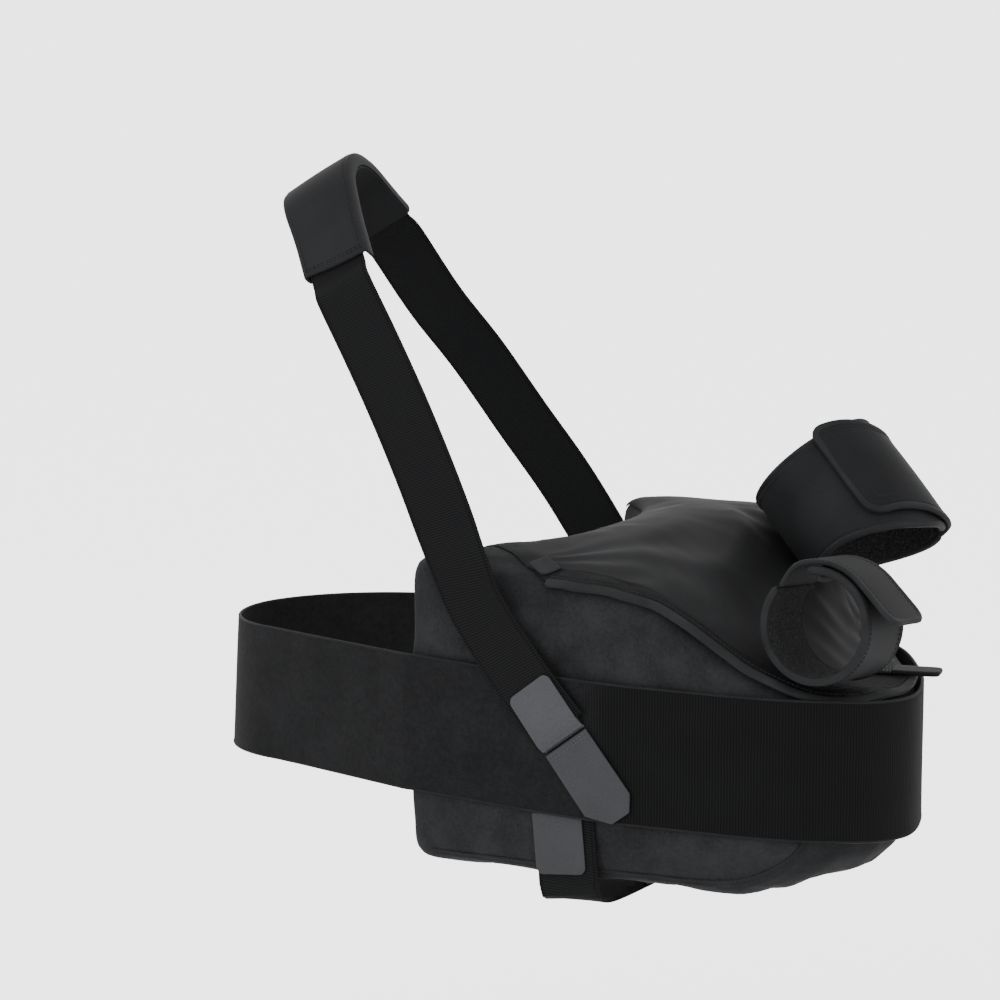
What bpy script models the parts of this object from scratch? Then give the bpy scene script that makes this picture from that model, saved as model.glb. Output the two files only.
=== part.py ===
"""Abduction arm sling: a wedge cushion worn at the waist, a waist belt, a shoulder strap and two arm cuffs.

The wearer faces -Y, +X is the wearer's left and +Z is up. The origin lies on the axis of the
trunk, at the mid height of the waist belt. All lengths are in metres.
"""

import math

import bmesh
import bpy
import numpy as np

# Driving dimensions
TRUNK = (0.152, 0.107)              # half axes of the waist that the belt goes round
BODY_SIDE = (0.156, 0.112)          # half axes of the hollow side of the cushion
BODY_SIDE_ANGLES = (-79.3, 31.0)    # where that side starts and ends, in degrees
OUTLINE = [(0.029, -0.156), (0.100, -0.171), (0.170, -0.183), (0.240, -0.192), (0.300, -0.195),
           (0.350, -0.182), (0.3805, -0.142), (0.3825, -0.092), (0.370, -0.040), (0.344, 0.016),
           (0.297, 0.050), (0.245, 0.066), (0.195, 0.073), (0.148, 0.074)]
FOAM_BOTTOM = -0.093
FOAM_TOP_FRONT = 0.126
FOAM_TOP_RISE = 0.0140               # how much higher the top lies at the back
FRONT_DROP = 0.008                          # the front edge slopes down towards the hand
ARM_REST = 0.046                    # height of the low part that carries the forearm
STATIONS = 26
END_RADIUS = 0.010
REAR_END_RADIUS = 0.0035
TOP_RADIUS = 0.013
INNER_RADIUS = 0.008
BOTTOM_RADIUS = (0.014, 0.046)      # at the front and at the lateral end

GAP = 0.0003
COVER = 0.0017
COVER_OUT = GAP + COVER             # outer face of the cover, from the foam
SEAM = 0.0002                       # taken off each border of a cover panel

BELT_WIDTH = 0.100
BELT_THICKNESS = 0.0025
BELT_OFFSET = 0.0040                # from the foam to the belt's inner face
BELT_BULGE = 0.0042                 # where the belt passes over the lower strap and its tab
BELT_LAP = 0.060
BELT_CLOSURE_X = 0.112              # where the belt's outer end lies, at the wearer's back

STRAP_WIDTH = 0.046
STRAP_THICKNESS = 0.0018
LEAF = 0.0012
TAB_WIDTH = 0.038

SHOULDER_CENTRE = (-0.0575, -0.0064, 0.3430)
SHOULDER_RADIUS = 0.047             # of the strap's inner face over the top of the shoulder
SHOULDER_TILT = math.radians(32.0)
SHOULDER_SLOPE = math.radians(51.0)  # of the straight runs down the chest and the back
PAD_RUN = (-0.078, 0.106)           # the pad's ends, along the strap from the top of the shoulder
PAD_WIDTH = (0.055, 0.062)          # at the hems and over the top

ARM_AXIS = (0.641, -0.263, -0.720)
ARM_CENTRE = (0.313, -0.0125, 0.158)
ARM_RADIUS = 0.045
ARM_CUFF_WIDTH = 0.075
WRIST_AXIS = (-0.253, -0.962, 0.101)
WRIST_CENTRE = (0.338, -0.172, 0.0985)
WRIST_RADIUS = 0.0355
WRIST_CUFF_WIDTH = 0.060
CUFF_LINING = 0.0025
CUFF_SHELL = 0.0020


def unit(vector):
    vector = np.asarray(vector, float)
    return vector / np.linalg.norm(vector, axis=-1, keepdims=True)


def smoothstep(x):
    x = np.clip(x, 0.0, 1.0)
    return x * x * (3.0 - 2.0 * x)


def resample(path, count):
    """The same polyline in equal steps."""
    steps = np.linalg.norm(np.diff(path, axis=0), axis=1)
    length = np.concatenate([[0.0], np.cumsum(steps)])
    at = np.linspace(0.0, length[-1], count)
    return np.stack([np.interp(at, length, column) for column in path.T], 1)


def smooth_path(points, count):
    """A Catmull-Rom curve through the points, in equal steps."""
    p = np.asarray(points, float)
    p = np.vstack([2 * p[0] - p[1], p, 2 * p[-1] - p[-2]])
    t = np.linspace(0.0, 1.0, 24, endpoint=False)[:, None]
    spans = []
    for a, b, c, d in zip(p, p[1:], p[2:], p[3:]):
        spans.append(0.5 * (2 * b + (c - a) * t + (2 * a - 5 * b + 4 * c - d) * t ** 2
                            + (3 * b - a - 3 * c + d) * t ** 3))
    spans.append(p[-2:-1])
    return resample(np.vstack(spans), count)


def tangents(path):
    return unit(np.gradient(path, axis=0))


# Materials and objects

def material(name, colour, roughness=0.9, metallic=0.0):
    found = bpy.data.materials.get(name)
    if found:
        return found
    made = bpy.data.materials.new(name)
    made.use_nodes = True
    shader = made.node_tree.nodes["Principled BSDF"]
    shader.inputs["Base Color"].default_value = (*colour, 1.0)
    shader.inputs["Roughness"].default_value = roughness
    shader.inputs["Metallic"].default_value = metallic
    return made


def velour():
    return material("cover_velour", (0.030, 0.031, 0.033), 0.95)


def twill():
    return material("cuff_twill", (0.024, 0.025, 0.028), 0.85)


def webbing():
    return material("strap_webbing", (0.016, 0.016, 0.019), 0.75)


def belt_cloth():
    return material("belt_cloth", (0.015, 0.015, 0.018), 0.90)


def hook_tape():
    return material("hook_tape", (0.091, 0.092, 0.102), 0.60)


def bias_tape():
    return material("bias_tape", (0.052, 0.051, 0.055), 0.80)


def mesh_lining():
    return material("spacer_mesh", (0.020, 0.020, 0.022), 0.80)


def foam():
    return material("foam", (0.250, 0.250, 0.260), 0.95)


def zip_plastic():
    return material("zip_plastic", (0.030, 0.030, 0.032), 0.45)


def add_object(name, points, faces, finish, origin=(0.0, 0.0, 0.0)):
    """A closed mesh whose object origin is at the given place."""
    origin = np.asarray(origin, float)
    mesh = bpy.data.meshes.new(name)
    mesh.from_pydata([tuple(p - origin) for p in points], [], faces)
    shape = bmesh.new()
    shape.from_mesh(mesh)
    bmesh.ops.recalc_face_normals(shape, faces=shape.faces)
    shape.to_mesh(mesh)
    shape.free()
    made = bpy.data.objects.new(name, mesh)
    made.location = origin
    mesh.materials.append(finish)
    bpy.context.scene.collection.objects.link(made)
    mesh.shade_smooth()
    mesh.set_sharp_from_angle(angle=math.radians(35.0))
    return made


def grid_faces(rows, columns, start=0, closed=False):
    faces = []
    for i in range(rows - 1):
        for j in range(columns if closed else columns - 1):
            k = (j + 1) % columns
            faces.append([start + i * columns + j, start + i * columns + k,
                          start + (i + 1) * columns + k, start + (i + 1) * columns + j])
    return faces


def sheet_solid(name, outer, inner, finish, origin=(0.0, 0.0, 0.0)):
    """A closed skin between two grids of points."""
    rows, columns = outer.shape[:2]
    count = rows * columns
    points = np.vstack([outer.reshape(-1, 3), inner.reshape(-1, 3)])
    faces = grid_faces(rows, columns) + grid_faces(rows, columns, count)
    rim = [j for j in range(columns)]
    rim += [i * columns + columns - 1 for i in range(1, rows)]
    rim += [(rows - 1) * columns + j for j in range(columns - 2, -1, -1)]
    rim += [i * columns for i in range(rows - 2, 0, -1)]
    for a, b in zip(rim, rim[1:] + rim[:1]):
        faces.append([a, a + count, b + count, b])
    return add_object(name, points, faces, finish, origin)


def band(name, path, side, out, left, right, thickness, finish, offset=0.0, origin=(0.0, 0.0, 0.0)):
    """A flat strip along a path: side points across it, out points away from what it lies on."""
    left = np.broadcast_to(left, len(path))[:, None]
    right = np.broadcast_to(right, len(path))[:, None]
    edges = np.stack([path - side * left, path + side * right], 1)
    inner = edges + out[:, None] * offset
    outer = edges + out[:, None] * (offset + thickness)
    return sheet_solid(name, outer, inner, finish, origin)


# The wedge cushion

def outline_stations(count):
    """Points of the foam's outer outline, seen from above, with their outward normals."""
    points = smooth_path(OUTLINE, 200)
    length = np.sum(np.linalg.norm(np.diff(points, axis=0), axis=1))
    ends = END_RADIUS * np.array([0.0, 0.3]) / length
    inside = np.linspace(END_RADIUS / length, 1.0 - END_RADIUS / length, count - 4)
    at = np.concatenate([ends, inside, 1.0 - ends[::-1]])
    fine = np.linspace(0.0, 1.0, 200)
    places = np.stack([np.interp(at, fine, points[:, k]) for k in (0, 1)], 1)
    along = tangents(points)
    along = unit(np.stack([np.interp(at, fine, along[:, k]) for k in (0, 1)], 1))
    normals = np.stack([along[:, 1], -along[:, 0]], 1)
    return at * length, places, normals


def body_side_points(outer_lengths):
    """The hollow side's points that belong to the outline's stations, with their normals."""
    angle = np.radians(np.linspace(*BODY_SIDE_ANGLES, 200))
    curve = np.stack([BODY_SIDE[0] * np.cos(angle), BODY_SIDE[1] * np.sin(angle)], 1)
    steps = np.concatenate([[0.0], np.cumsum(np.linalg.norm(np.diff(curve, axis=0), axis=1))])
    total = outer_lengths[-1]
    at = np.interp(outer_lengths, [0.0, END_RADIUS, total - END_RADIUS, total],
                   [0.0, END_RADIUS, steps[-1] - END_RADIUS, steps[-1]])
    places = np.stack([np.interp(at, steps, curve[:, k]) for k in (0, 1)], 1)
    normals = unit(-places / np.square(BODY_SIDE))
    return places, normals


def foam_top(x, y):
    """Height of the foam: high at the trunk and the front end, low under the forearm."""
    high = FOAM_TOP_FRONT + FOAM_TOP_RISE * smoothstep((y + 0.150) / 0.150)
    high = high - FRONT_DROP * smoothstep((x - 0.050) / 0.160) * (1.0 - smoothstep((y + 0.170) / 0.080))
    middle = 0.258 + 0.29 * (y + 0.190) - 0.016 * smoothstep((y + 0.190) / 0.110)
    half = 0.080 - 0.10 * (y + 0.190)
    fall = smoothstep((x - middle) / (2.0 * half) + 0.5)
    return ARM_REST + (high - ARM_REST) * (1.0 - fall)


def foam_bottom(x):
    return FOAM_BOTTOM + 0.009 * smoothstep((x - 0.265) / 0.115)


def bottom_radius(x, y):
    share = smoothstep((x - 0.270) / 0.080) * smoothstep((0.060 - y) / 0.060)
    return BOTTOM_RADIUS[0] + (BOTTOM_RADIUS[1] - BOTTOM_RADIUS[0]) * share


def cushion_section(place, normal, inner, inner_normal, shrink):
    """One closed cross-section of the foam, from the inner bottom edge all the way round."""
    if shrink > 0.0:
        inner_normal = unit(inner - place)
        normal = -inner_normal
    outer = place - normal * shrink
    inner = inner - inner_normal * shrink
    across = inner - outer
    width = np.linalg.norm(across)
    across = across / width
    low = foam_bottom(outer[0]) + shrink
    round_low = min(bottom_radius(*place), 0.45 * width)
    round_top = min(TOP_RADIUS, 0.40 * width)
    round_in = min(INNER_RADIUS, 0.25 * width)

    def on_outer(inset):
        return outer - normal * inset

    def on_inner(inset):
        return inner - inner_normal * inset

    def top_at(spot):
        return foam_top(*spot) - shrink

    points = []
    first, last = on_inner(round_in), on_outer(round_low)
    for share in (0.0, 0.35, 0.7, 1.0):
        points.append((*(first + (last - first) * share), low))
    for angle in np.radians((30.0, 60.0)):
        points.append((*on_outer(round_low * (1.0 - math.sin(angle))), low + round_low * (1.0 - math.cos(angle))))
    points.append((*on_outer(0.0), low + round_low))
    rim = top_at(on_outer(round_top))
    points.append((*on_outer(0.0), 0.5 * (low + round_low + rim - round_top)))
    points.append((*on_outer(0.0), rim - round_top))
    for angle in np.radians((30.0, 60.0)):
        points.append((*on_outer(round_top * (1.0 - math.cos(angle))), rim - round_top * (1.0 - math.sin(angle))))
    first, last = on_outer(round_top), on_inner(round_in)
    free = max(np.linalg.norm(last - first), 1e-6)
    marks = np.array([0.0, 0.016, 0.033]) * min(1.0, free / 0.060)
    rest = marks[-1] + (free - marks[-1]) * np.array([0.25, 0.5, 0.75, 1.0])
    for distance in (*marks, *rest):
        spot = first + (last - first) * distance / free
        points.append((*spot, top_at(spot)))
    high = top_at(last)
    side = on_inner(0.0)
    points.append((*on_inner(0.3 * round_in), high - 0.3 * round_in))
    points.append((*side, high - round_in))
    points.append((*side, low + round_in))
    points.append((*on_inner(0.3 * round_in), low + 0.3 * round_in))
    return points


# Columns of a section: where each face of the cushion starts and ends
BOTTOM_COLUMNS = (21, 0, 1, 2, 3, 4)
OUTER_COLUMNS = (4, 5, 6, 7, 8, 9)
TOP_COLUMNS = (9, 10, 11, 12, 13, 14, 15, 16, 17, 18)
INNER_COLUMNS = (18, 19, 20, 21)


def cushion_surface():
    """Grid of the foam's surface and its outward normals, one row for each section."""
    lengths, places, normals = outline_stations(STATIONS)
    inner, inner_normals = body_side_points(lengths)
    shrinks = np.zeros(STATIONS)
    shrinks[[0, 1]] = END_RADIUS * np.array([1.0, 0.3])
    shrinks[[-1, -2]] = REAR_END_RADIUS * np.array([1.0, 0.3])
    rows = [cushion_section(*row) for row in zip(places, normals, inner, inner_normals, shrinks)]
    points = np.array(rows)
    along = np.gradient(points, axis=0)
    across = np.roll(points, -1, axis=1) - np.roll(points, 1, axis=1)
    out = unit(np.cross(along, across))
    centre = points.mean(axis=1, keepdims=True)
    if np.sum(out * (points - centre)) < 0.0:
        out = -out
    return points, out


def trimmed(grid, border):
    """The same patch with a border taken off on each side."""
    grid = grid.copy()
    for edge, inside in ((0, 1), (-1, -2)):
        grid[edge] += unit(grid[inside] - grid[edge]) * border
    for edge, inside in ((0, 1), (-1, -2)):
        grid[:, edge] += unit(grid[:, inside] - grid[:, edge]) * border
    return grid


def cushion_patch(name, surface, rows, columns, low, high, finish, border=SEAM):
    """A skin over part of the cushion, between two distances from the foam."""
    points, out = surface
    columns = list(columns)
    part = points[rows][:, columns]
    away = out[rows][:, columns]
    outer = trimmed(part + away * high, border)
    inner = trimmed(part + away * low, border)
    return sheet_solid(name, outer, inner, finish)


def build_foam(surface):
    points = surface[0]
    rows, columns = points.shape[:2]
    faces = grid_faces(rows, columns, closed=True)
    faces.append(list(range(columns)))
    faces.append([(rows - 1) * columns + j for j in range(columns)])
    add_object("foam_core", points.reshape(-1, 3), faces, foam())


def build_end_panel(name, loop, finish):
    """A thin plate over one narrow end of the cushion."""
    across = loop[20] - loop[7]
    normal = unit(np.array([-across[1], across[0], 0.0]))
    if loop[0, 0] > 0.1:
        normal = -normal
    centre = 0.5 * (loop.max(axis=0) + loop.min(axis=0))
    loop = centre + (loop - centre) * 0.985
    count = len(loop)
    points = np.vstack([loop + normal * GAP, loop + normal * COVER_OUT])
    faces = [list(range(count)), list(range(count, 2 * count))]
    for j in range(count):
        k = (j + 1) % count
        faces.append([j, j + count, k + count, k])
    add_object(name, points, faces, finish)


def build_cover(surface):
    """The cover's panels: front, lateral gusset, top, bottom, body side and the two ends."""
    seam_row = int(np.argmin(np.abs(surface[0][:STATIONS // 2, 7, 0] - 0.326)))
    skin = (GAP, COVER_OUT, velour())
    every = slice(0, STATIONS)
    cushion_patch("front_cover_panel", surface, slice(0, seam_row + 1), OUTER_COLUMNS, *skin)
    cushion_patch("lateral_gusset_panel", surface, slice(seam_row, STATIONS), OUTER_COLUMNS, *skin)
    cushion_patch("top_cover_panel", surface, every, TOP_COLUMNS, *skin)
    cushion_patch("bottom_cover_panel", surface, every, BOTTOM_COLUMNS, *skin)
    cushion_patch("body_side_panel", surface, every, INNER_COLUMNS, *skin)
    build_end_panel("front_end_panel", surface[0][0], velour())
    build_end_panel("rear_end_panel", surface[0][-1], velour())


# Walls: a plan outline that straps and tapes lie on

def front_wall(x, offset):
    """Point of the cushion's flat front at x, moved out by the offset, and its normal."""
    _, places, normals = outline_stations(STATIONS)
    half = STATIONS // 2
    y = np.interp(x, places[:half, 0], places[:half, 1])
    nx = np.interp(x, places[:half, 0], normals[:half, 0])
    normal = unit(np.array([nx, -math.sqrt(1.0 - nx * nx), 0.0]))
    return np.array([x, y, 0.0]) + normal * offset, normal


def bottom_edge_inset(x, y, z):
    """How far the foam's side lies in at height z, and the tilt of its normal there."""
    radius = bottom_radius(x, y)
    start = foam_bottom(x) + radius
    sine = np.clip((start - z) / radius, 0.0, 0.98)
    return radius * (1.0 - math.sqrt(1.0 - sine * sine)), sine


def on_front(x, z, offset):
    """A point over the front face, its outward normal and the wall's direction."""
    base, normal = front_wall(x, 0.0)
    inset, sine = bottom_edge_inset(x, base[1], z)
    out = normal * math.sqrt(1.0 - sine * sine) + np.array([0.0, 0.0, -sine])
    point = base - normal * inset + np.array([0.0, 0.0, z]) + out * offset
    return point, out, np.array([-normal[1], normal[0], 0.0])


def hanging(x, z, offset):
    """The same for what hangs straight down over the rounded lower edge."""
    point, normal = front_wall(x, offset)
    along = np.array([-normal[1], normal[0], 0.0])
    return point + np.array([0.0, 0.0, z]), normal, along


def build_front_binding():
    """Tape that binds the front panel along its lower edge and up its lateral edge."""
    low, lateral = -0.086, 0.329
    long, high = 0.078, 0.048
    flat = [(x, low) for x in np.linspace(0.050, lateral - long, 12)]
    turn = [(lateral - long + long * math.sin(a), low + high * (1.0 - math.cos(a)))
            for a in np.radians((15.0, 30.0, 45.0, 60.0, 75.0, 90.0))]
    rise = [(lateral, z) for z in (-0.015, 0.010, 0.030)]
    spots = flat + turn + rise
    frames = [on_front(x, z, COVER_OUT + 0.0010) for x, z in spots]
    path = np.array([frame[0] for frame in frames])
    out = np.array([frame[1] for frame in frames])
    side = unit(np.cross(out, tangents(path)))
    band("front_panel_binding", path, side, out, 0.003, 0.003, 0.0005, bias_tape())


# The closure of the cover, on its underside

def build_zip():
    low = foam_bottom(0.200) - COVER_OUT - GAP
    line = np.array([[x, -0.118, low] for x in (0.085, 0.278)])
    down = np.array([[0.0, 0.0, -1.0]] * 2)
    side = np.array([[0.0, 1.0, 0.0]] * 2)
    band("zip_tape", line, side, down, 0.012, 0.012, 0.0008, zip_plastic())
    chain = line + np.array([[0.004, 0.0, 0.0], [-0.004, 0.0, 0.0]])
    band("zip_chain", chain, side, down, 0.0025, 0.0025, 0.0012, zip_plastic(), offset=0.0008 + GAP)
    below = 0.0020 + 3.0 * GAP
    slider = np.array([[x, -0.118, low] for x in (0.260, 0.271)])
    band("zip_slider", slider, side, down, 0.0045, 0.0045, 0.0022, zip_plastic(), offset=below,
         origin=(0.2655, -0.118, low - below))


# The waist belt

def hull(points):
    """Convex outline of the points, counterclockwise."""
    points = sorted(map(tuple, points))

    def half(order):
        chain = []
        for p in order:
            while len(chain) > 1:
                (ax, ay), (bx, by) = chain[-2:]
                if (bx - ax) * (p[1] - ay) - (by - ay) * (p[0] - ax) > 0.0:
                    break
                chain.pop()
            chain.append(p)
        return chain[:-1]

    return np.array(half(points) + half(points[::-1]))


def belt_loop():
    """The belt's inner face seen from above: a taut loop round the trunk and the cushion."""
    _, places, normals = outline_stations(STATIONS)
    bulge = np.exp(-((places[:, 0] - 0.155) / 0.060) ** 2) * (places[:, 1] < 0.0)
    cushion = places + normals * (BELT_OFFSET + BELT_BULGE * bulge)[:, None]
    angle = np.radians(np.arange(0.0, 360.0, 9.0))
    trunk = np.stack([TRUNK[0] * np.cos(angle), TRUNK[1] * np.sin(angle)], 1)
    loop = hull(np.vstack([cushion, trunk]))
    start = int(np.argmin(np.linalg.norm(loop - np.array([0.240, 0.070]), axis=1)))
    loop = np.roll(loop, -start, axis=0)
    closed = np.vstack([loop, loop[:1]])
    fine = [closed[:1]]
    for a, b in zip(closed, closed[1:]):
        parts = max(1, int(round(np.linalg.norm(b - a) / 0.030)))
        fine.append(a + (b - a) * (np.arange(1, parts + 1) / parts)[:, None])
    return np.vstack(fine)[:-1]


def belt_rise(x, y):
    """The belt lies a little higher where it crosses the belly."""
    front = np.interp(x, (-0.152, -0.097, 0.035, 0.100, 0.200, 0.300, 0.345, 0.385),
                      (0.003, 0.006, 0.009, 0.006, 0.002, 0.0, -0.001, -0.006))
    back = np.interp(x, (-0.152, 0.0, 0.380), (0.003, 0.001, -0.002))
    share = smoothstep((y + 0.060) / 0.120)
    return front * (1.0 - share) + back * share


def loop_frames(loop):
    """Outward normals of a closed counterclockwise loop, made for mitred corners."""
    forward = unit(np.roll(loop, -1, axis=0) - loop)
    normal = np.stack([forward[:, 1], -forward[:, 0]], 1)
    before = np.roll(normal, 1, axis=0)
    mitre = unit(normal + before)
    return mitre / np.sum(mitre * normal, axis=1, keepdims=True)


def belt_run(lap):
    """The belt's route from its inner end, once round and over itself by the lap."""
    loop = belt_loop()
    mitre = loop_frames(loop)
    closed = np.vstack([loop, loop, loop[:1]])
    frames = np.vstack([mitre, mitre, mitre[:1]])
    steps = np.concatenate([[0.0], np.cumsum(np.linalg.norm(np.diff(closed, axis=0), axis=1))])
    total = steps[len(loop)]
    back = np.where(loop[:, 1] > 0.05)[0]
    order = back[np.argsort(-loop[back, 0])]
    end_at = float(np.interp(-BELT_CLOSURE_X, -loop[order, 0], steps[order]))
    start_at = end_at - lap
    marks = [s for s in steps if start_at + 0.002 < s < end_at + total - 0.002]
    at = np.array([start_at, *marks, end_at + total])
    places = np.stack([np.interp(at, steps, closed[:, k]) for k in (0, 1)], 1)
    out = np.stack([np.interp(at, steps, frames[:, k]) for k in (0, 1)], 1)
    lift = smoothstep((at - (start_at + total - 0.050)) / 0.040) * (BELT_THICKNESS + GAP)
    return places, out, lift


def belt_grid(places, out, offset):
    """Lower and upper edge points at a distance outside the belt's inner face."""
    flare = 0.05 * smoothstep((-0.060 - places[:, 0]) / 0.090)
    rise = belt_rise(places[:, 0], places[:, 1])
    edges = []
    for half in (-0.5 * BELT_WIDTH, 0.5 * BELT_WIDTH):
        plan = places + out * (offset - flare * half)[:, None]
        edges.append(np.column_stack([plan, rise + half]))
    return np.stack(edges, 1)


def build_belt():
    places, out, lift = belt_run(BELT_LAP)
    inner = belt_grid(places, out, lift)
    outer = belt_grid(places, out, lift + BELT_THICKNESS)
    sheet_solid("waist_belt", outer, inner, belt_cloth())
    end = outer[-1].mean(axis=0)
    along = unit(outer[-1].mean(axis=0) - outer[-2].mean(axis=0))
    return end, along


def build_belt_tab(end, along):
    """Hook tab that closes the belt at the back: an outer leaf and the hook face under it."""
    out = unit(np.array([along[1], -along[0], 0.0]))
    lower_face = end - out * BELT_THICKNESS
    root = lower_face + along * 0.0006
    path = np.array([root + along * s for s in (0.0, 0.050, 0.062)])
    up = np.array([[0.0, 0.0, 1.0]] * 3)
    away = np.array([out] * 3)
    halves = np.array([0.044, 0.044, 0.036])
    hinge = end + along * 0.0006
    band("belt_tab_hook_face", path[:2] + along * 0.003, up[:2], away[:2], 0.040, 0.040, 0.0010,
         hook_tape(), origin=hinge)
    band("belt_tab_leaf", path, up, away, halves, halves, 0.0014, hook_tape(), offset=0.0010 + GAP,
         origin=hinge)


# The shoulder strap

def shoulder_place(distance, lift=0.0):
    """Point over the shoulder, and its outward normal; positive distances go down the chest."""
    back = np.array([0.0, 1.0, 0.0])
    top = np.array([-math.sin(SHOULDER_TILT), 0.0, math.cos(SHOULDER_TILT)])
    turn = float(np.clip(distance / SHOULDER_RADIUS, -SHOULDER_SLOPE, SHOULDER_SLOPE))
    out = math.cos(turn) * top - math.sin(turn) * back
    down = -math.cos(turn) * back - math.sin(turn) * top
    rest = distance - turn * SHOULDER_RADIUS
    return np.array(SHOULDER_CENTRE) + out * (SHOULDER_RADIUS + lift) + down * rest, out


def shoulder_axis():
    return np.array([math.cos(SHOULDER_TILT), 0.0, math.sin(SHOULDER_TILT)])


def belt_front(x, z, offset):
    """A point in front of the belt, its outward normal and the wall's direction."""
    loop = belt_loop()
    front = loop[(loop[:, 1] < -0.14) & (loop[:, 0] > 0.02) & (loop[:, 0] < 0.32)]
    front = front[np.argsort(front[:, 0])]
    slope = np.gradient(front[:, 1], front[:, 0])
    y = float(np.interp(x, front[:, 0], front[:, 1]))
    along = unit(np.array([1.0, float(np.interp(x, front[:, 0], slope)), 0.0]))
    normal = np.array([along[1], -along[0], 0.0])
    return np.array([x, y, z]) + normal * (BELT_THICKNESS + offset), normal, along


OVER_BELT = 0.0008                          # what lies flat on the belt clears its bends
STRAP_OVER_BELT = OVER_BELT + LEAF + GAP    # inner face of the strap, from the belt
STRAP_ON_COVER = COVER_OUT + LEAF + 2.0 * GAP


def strap_route():
    """Centre line of the strap's inner face, with a side direction at each guide point."""
    axis = shoulder_axis()
    level = np.array([1.0, 0.0, 0.0])
    guides = []
    for x, z in ((0.1516, 0.0159), (0.143, 0.026), (0.133, 0.038), (0.124, 0.049), (0.115, 0.0605),
                 (0.104, 0.0745), (0.094, 0.088), (0.084, 0.104)):
        point, out, along = belt_front(x, z, STRAP_OVER_BELT)
        line = along * -0.62 + np.array([0.0, 0.0, 0.785])
        guides.append((point, unit(np.cross(line, out))))
    last = belt_front(0.0735, 0.127, STRAP_OVER_BELT - 0.0005)[0]
    guides.append((last, unit(guides[-1][1] + axis)))
    first = shoulder_place(0.130)[0]
    for share in (0.14, 0.34, 0.56, 0.78):
        aside = np.array([0.004, 0.0, 0.0]) * math.sin(math.pi * share)
        guides.append((last + (first - last) * share + aside, axis))
    guides += [(shoulder_place(distance)[0], axis) for distance in np.linspace(0.130, -0.100, 20)]
    back_side = unit(np.array([0.86, 0.0, 0.50]))
    for point in ((-0.026, 0.092, 0.283), (0.002, 0.114, 0.239), (0.034, 0.125, 0.190),
                  (0.072, 0.127, 0.138), (0.112, 0.121, 0.078), (0.158, 0.109, 0.010),
                  (0.190, 0.101, -0.045)):
        guides.append((np.array(point), back_side))
    for point in ((0.208, 0.094, -0.084), (0.2135, 0.080, -0.0985), (0.212, 0.052, -0.1035),
                  (0.205, 0.000, -0.1050), (0.192, -0.060, -0.1065), (0.176, -0.120, -0.1080)):
        guides.append((np.array(point), level))
    upward = []
    for x, z in ((0.1565, -0.097), (0.156, -0.089), (0.155, -0.080), (0.154, -0.067), (0.153, -0.054),
                 (0.152, -0.042), (0.151, -0.030)):
        point, _, along = hanging(x, z, STRAP_ON_COVER)
        upward.append((point, along))
    corner = upward[0][0] + np.array([0.004, 0.010, -0.0105])
    guides.append((corner, level))
    return guides + upward


def strap_frames(count):
    """The strap's path, side and outward directions."""
    guides = strap_route()
    route = smooth_path([np.concatenate([point, side]) for point, side in guides], count)
    path = resample_pair(route, count)
    points, side = path[:, :3], path[:, 3:]
    along = tangents(points)
    side = unit(side - along * np.sum(side * along, axis=1, keepdims=True))
    return points, side, unit(np.cross(side, along))


def resample_pair(route, count):
    """Equal steps along the first three columns, with the others carried along."""
    steps = np.linalg.norm(np.diff(route[:, :3], axis=0), axis=1)
    length = np.concatenate([[0.0], np.cumsum(steps)])
    at = np.linspace(0.0, length[-1], count)
    return np.stack([np.interp(at, length, column) for column in route.T], 1)


def build_strap():
    points, side, out = strap_frames(150)
    half = 0.5 * STRAP_WIDTH
    band("shoulder_strap", points, side, out, half, half, STRAP_THICKNESS, webbing())


def tab_frames(spots, place):
    """Frames along a straight tab that lies on a wall."""
    frames = [place(x, z) for x, z in spots]
    path = np.array([frame[0] for frame in frames])
    out = np.array([frame[1] for frame in frames])
    side = unit(np.cross(out, tangents(path)))
    return path, side, out


def tab_spots(start, direction, distances):
    direction = unit(np.array(direction))
    return [tuple(np.array(start) + direction * s) for s in distances]


FRONT_TAB_START = (0.1276, 0.0462)
FRONT_TAB_LINE = (0.593, -0.805)
LOWER_TAB_START = (0.1515, -0.0885)
LOWER_TAB_LINE = (-0.09, 1.0)


def build_front_tab():
    """Two-leaf hook tab that grips the strap's front end and closes on the belt."""
    half = 0.5 * TAB_WIDTH

    def over_belt(offset):
        return lambda x, z: belt_front(x, z, offset)

    start, line = FRONT_TAB_START, FRONT_TAB_LINE
    leaf = tab_spots(start, line, (0.0, 0.003, 0.011, 0.019, 0.028, 0.036, 0.0445))
    widths = np.array([half - 0.003] + [half] * 6)
    hinge, out, _ = belt_front(*tab_spots(start, line, (0.045,))[0], STRAP_OVER_BELT + STRAP_THICKNESS + GAP)
    path, side, away = tab_frames(leaf, over_belt(STRAP_OVER_BELT + STRAP_THICKNESS + GAP))
    band("front_tab_upper_leaf", path, side, away, widths, widths, LEAF, hook_tape(), origin=hinge)
    path, side, away = tab_frames(leaf, over_belt(OVER_BELT))
    band("front_tab_lower_leaf", path, side, away, widths - 0.001, widths - 0.001, LEAF, hook_tape())
    end = tab_spots(start, line, (0.0475, 0.056, 0.064, 0.072, 0.080, 0.089, 0.098, 0.112))
    path, side, away = tab_frames(end, over_belt(OVER_BELT))
    left = np.array([half] * 7 + [0.006])
    right = np.array([half] * 7 + [0.010])
    band("front_tab_end_leaf", path, side, away, left, right, 2.0 * LEAF, hook_tape(), origin=path[0])


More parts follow.
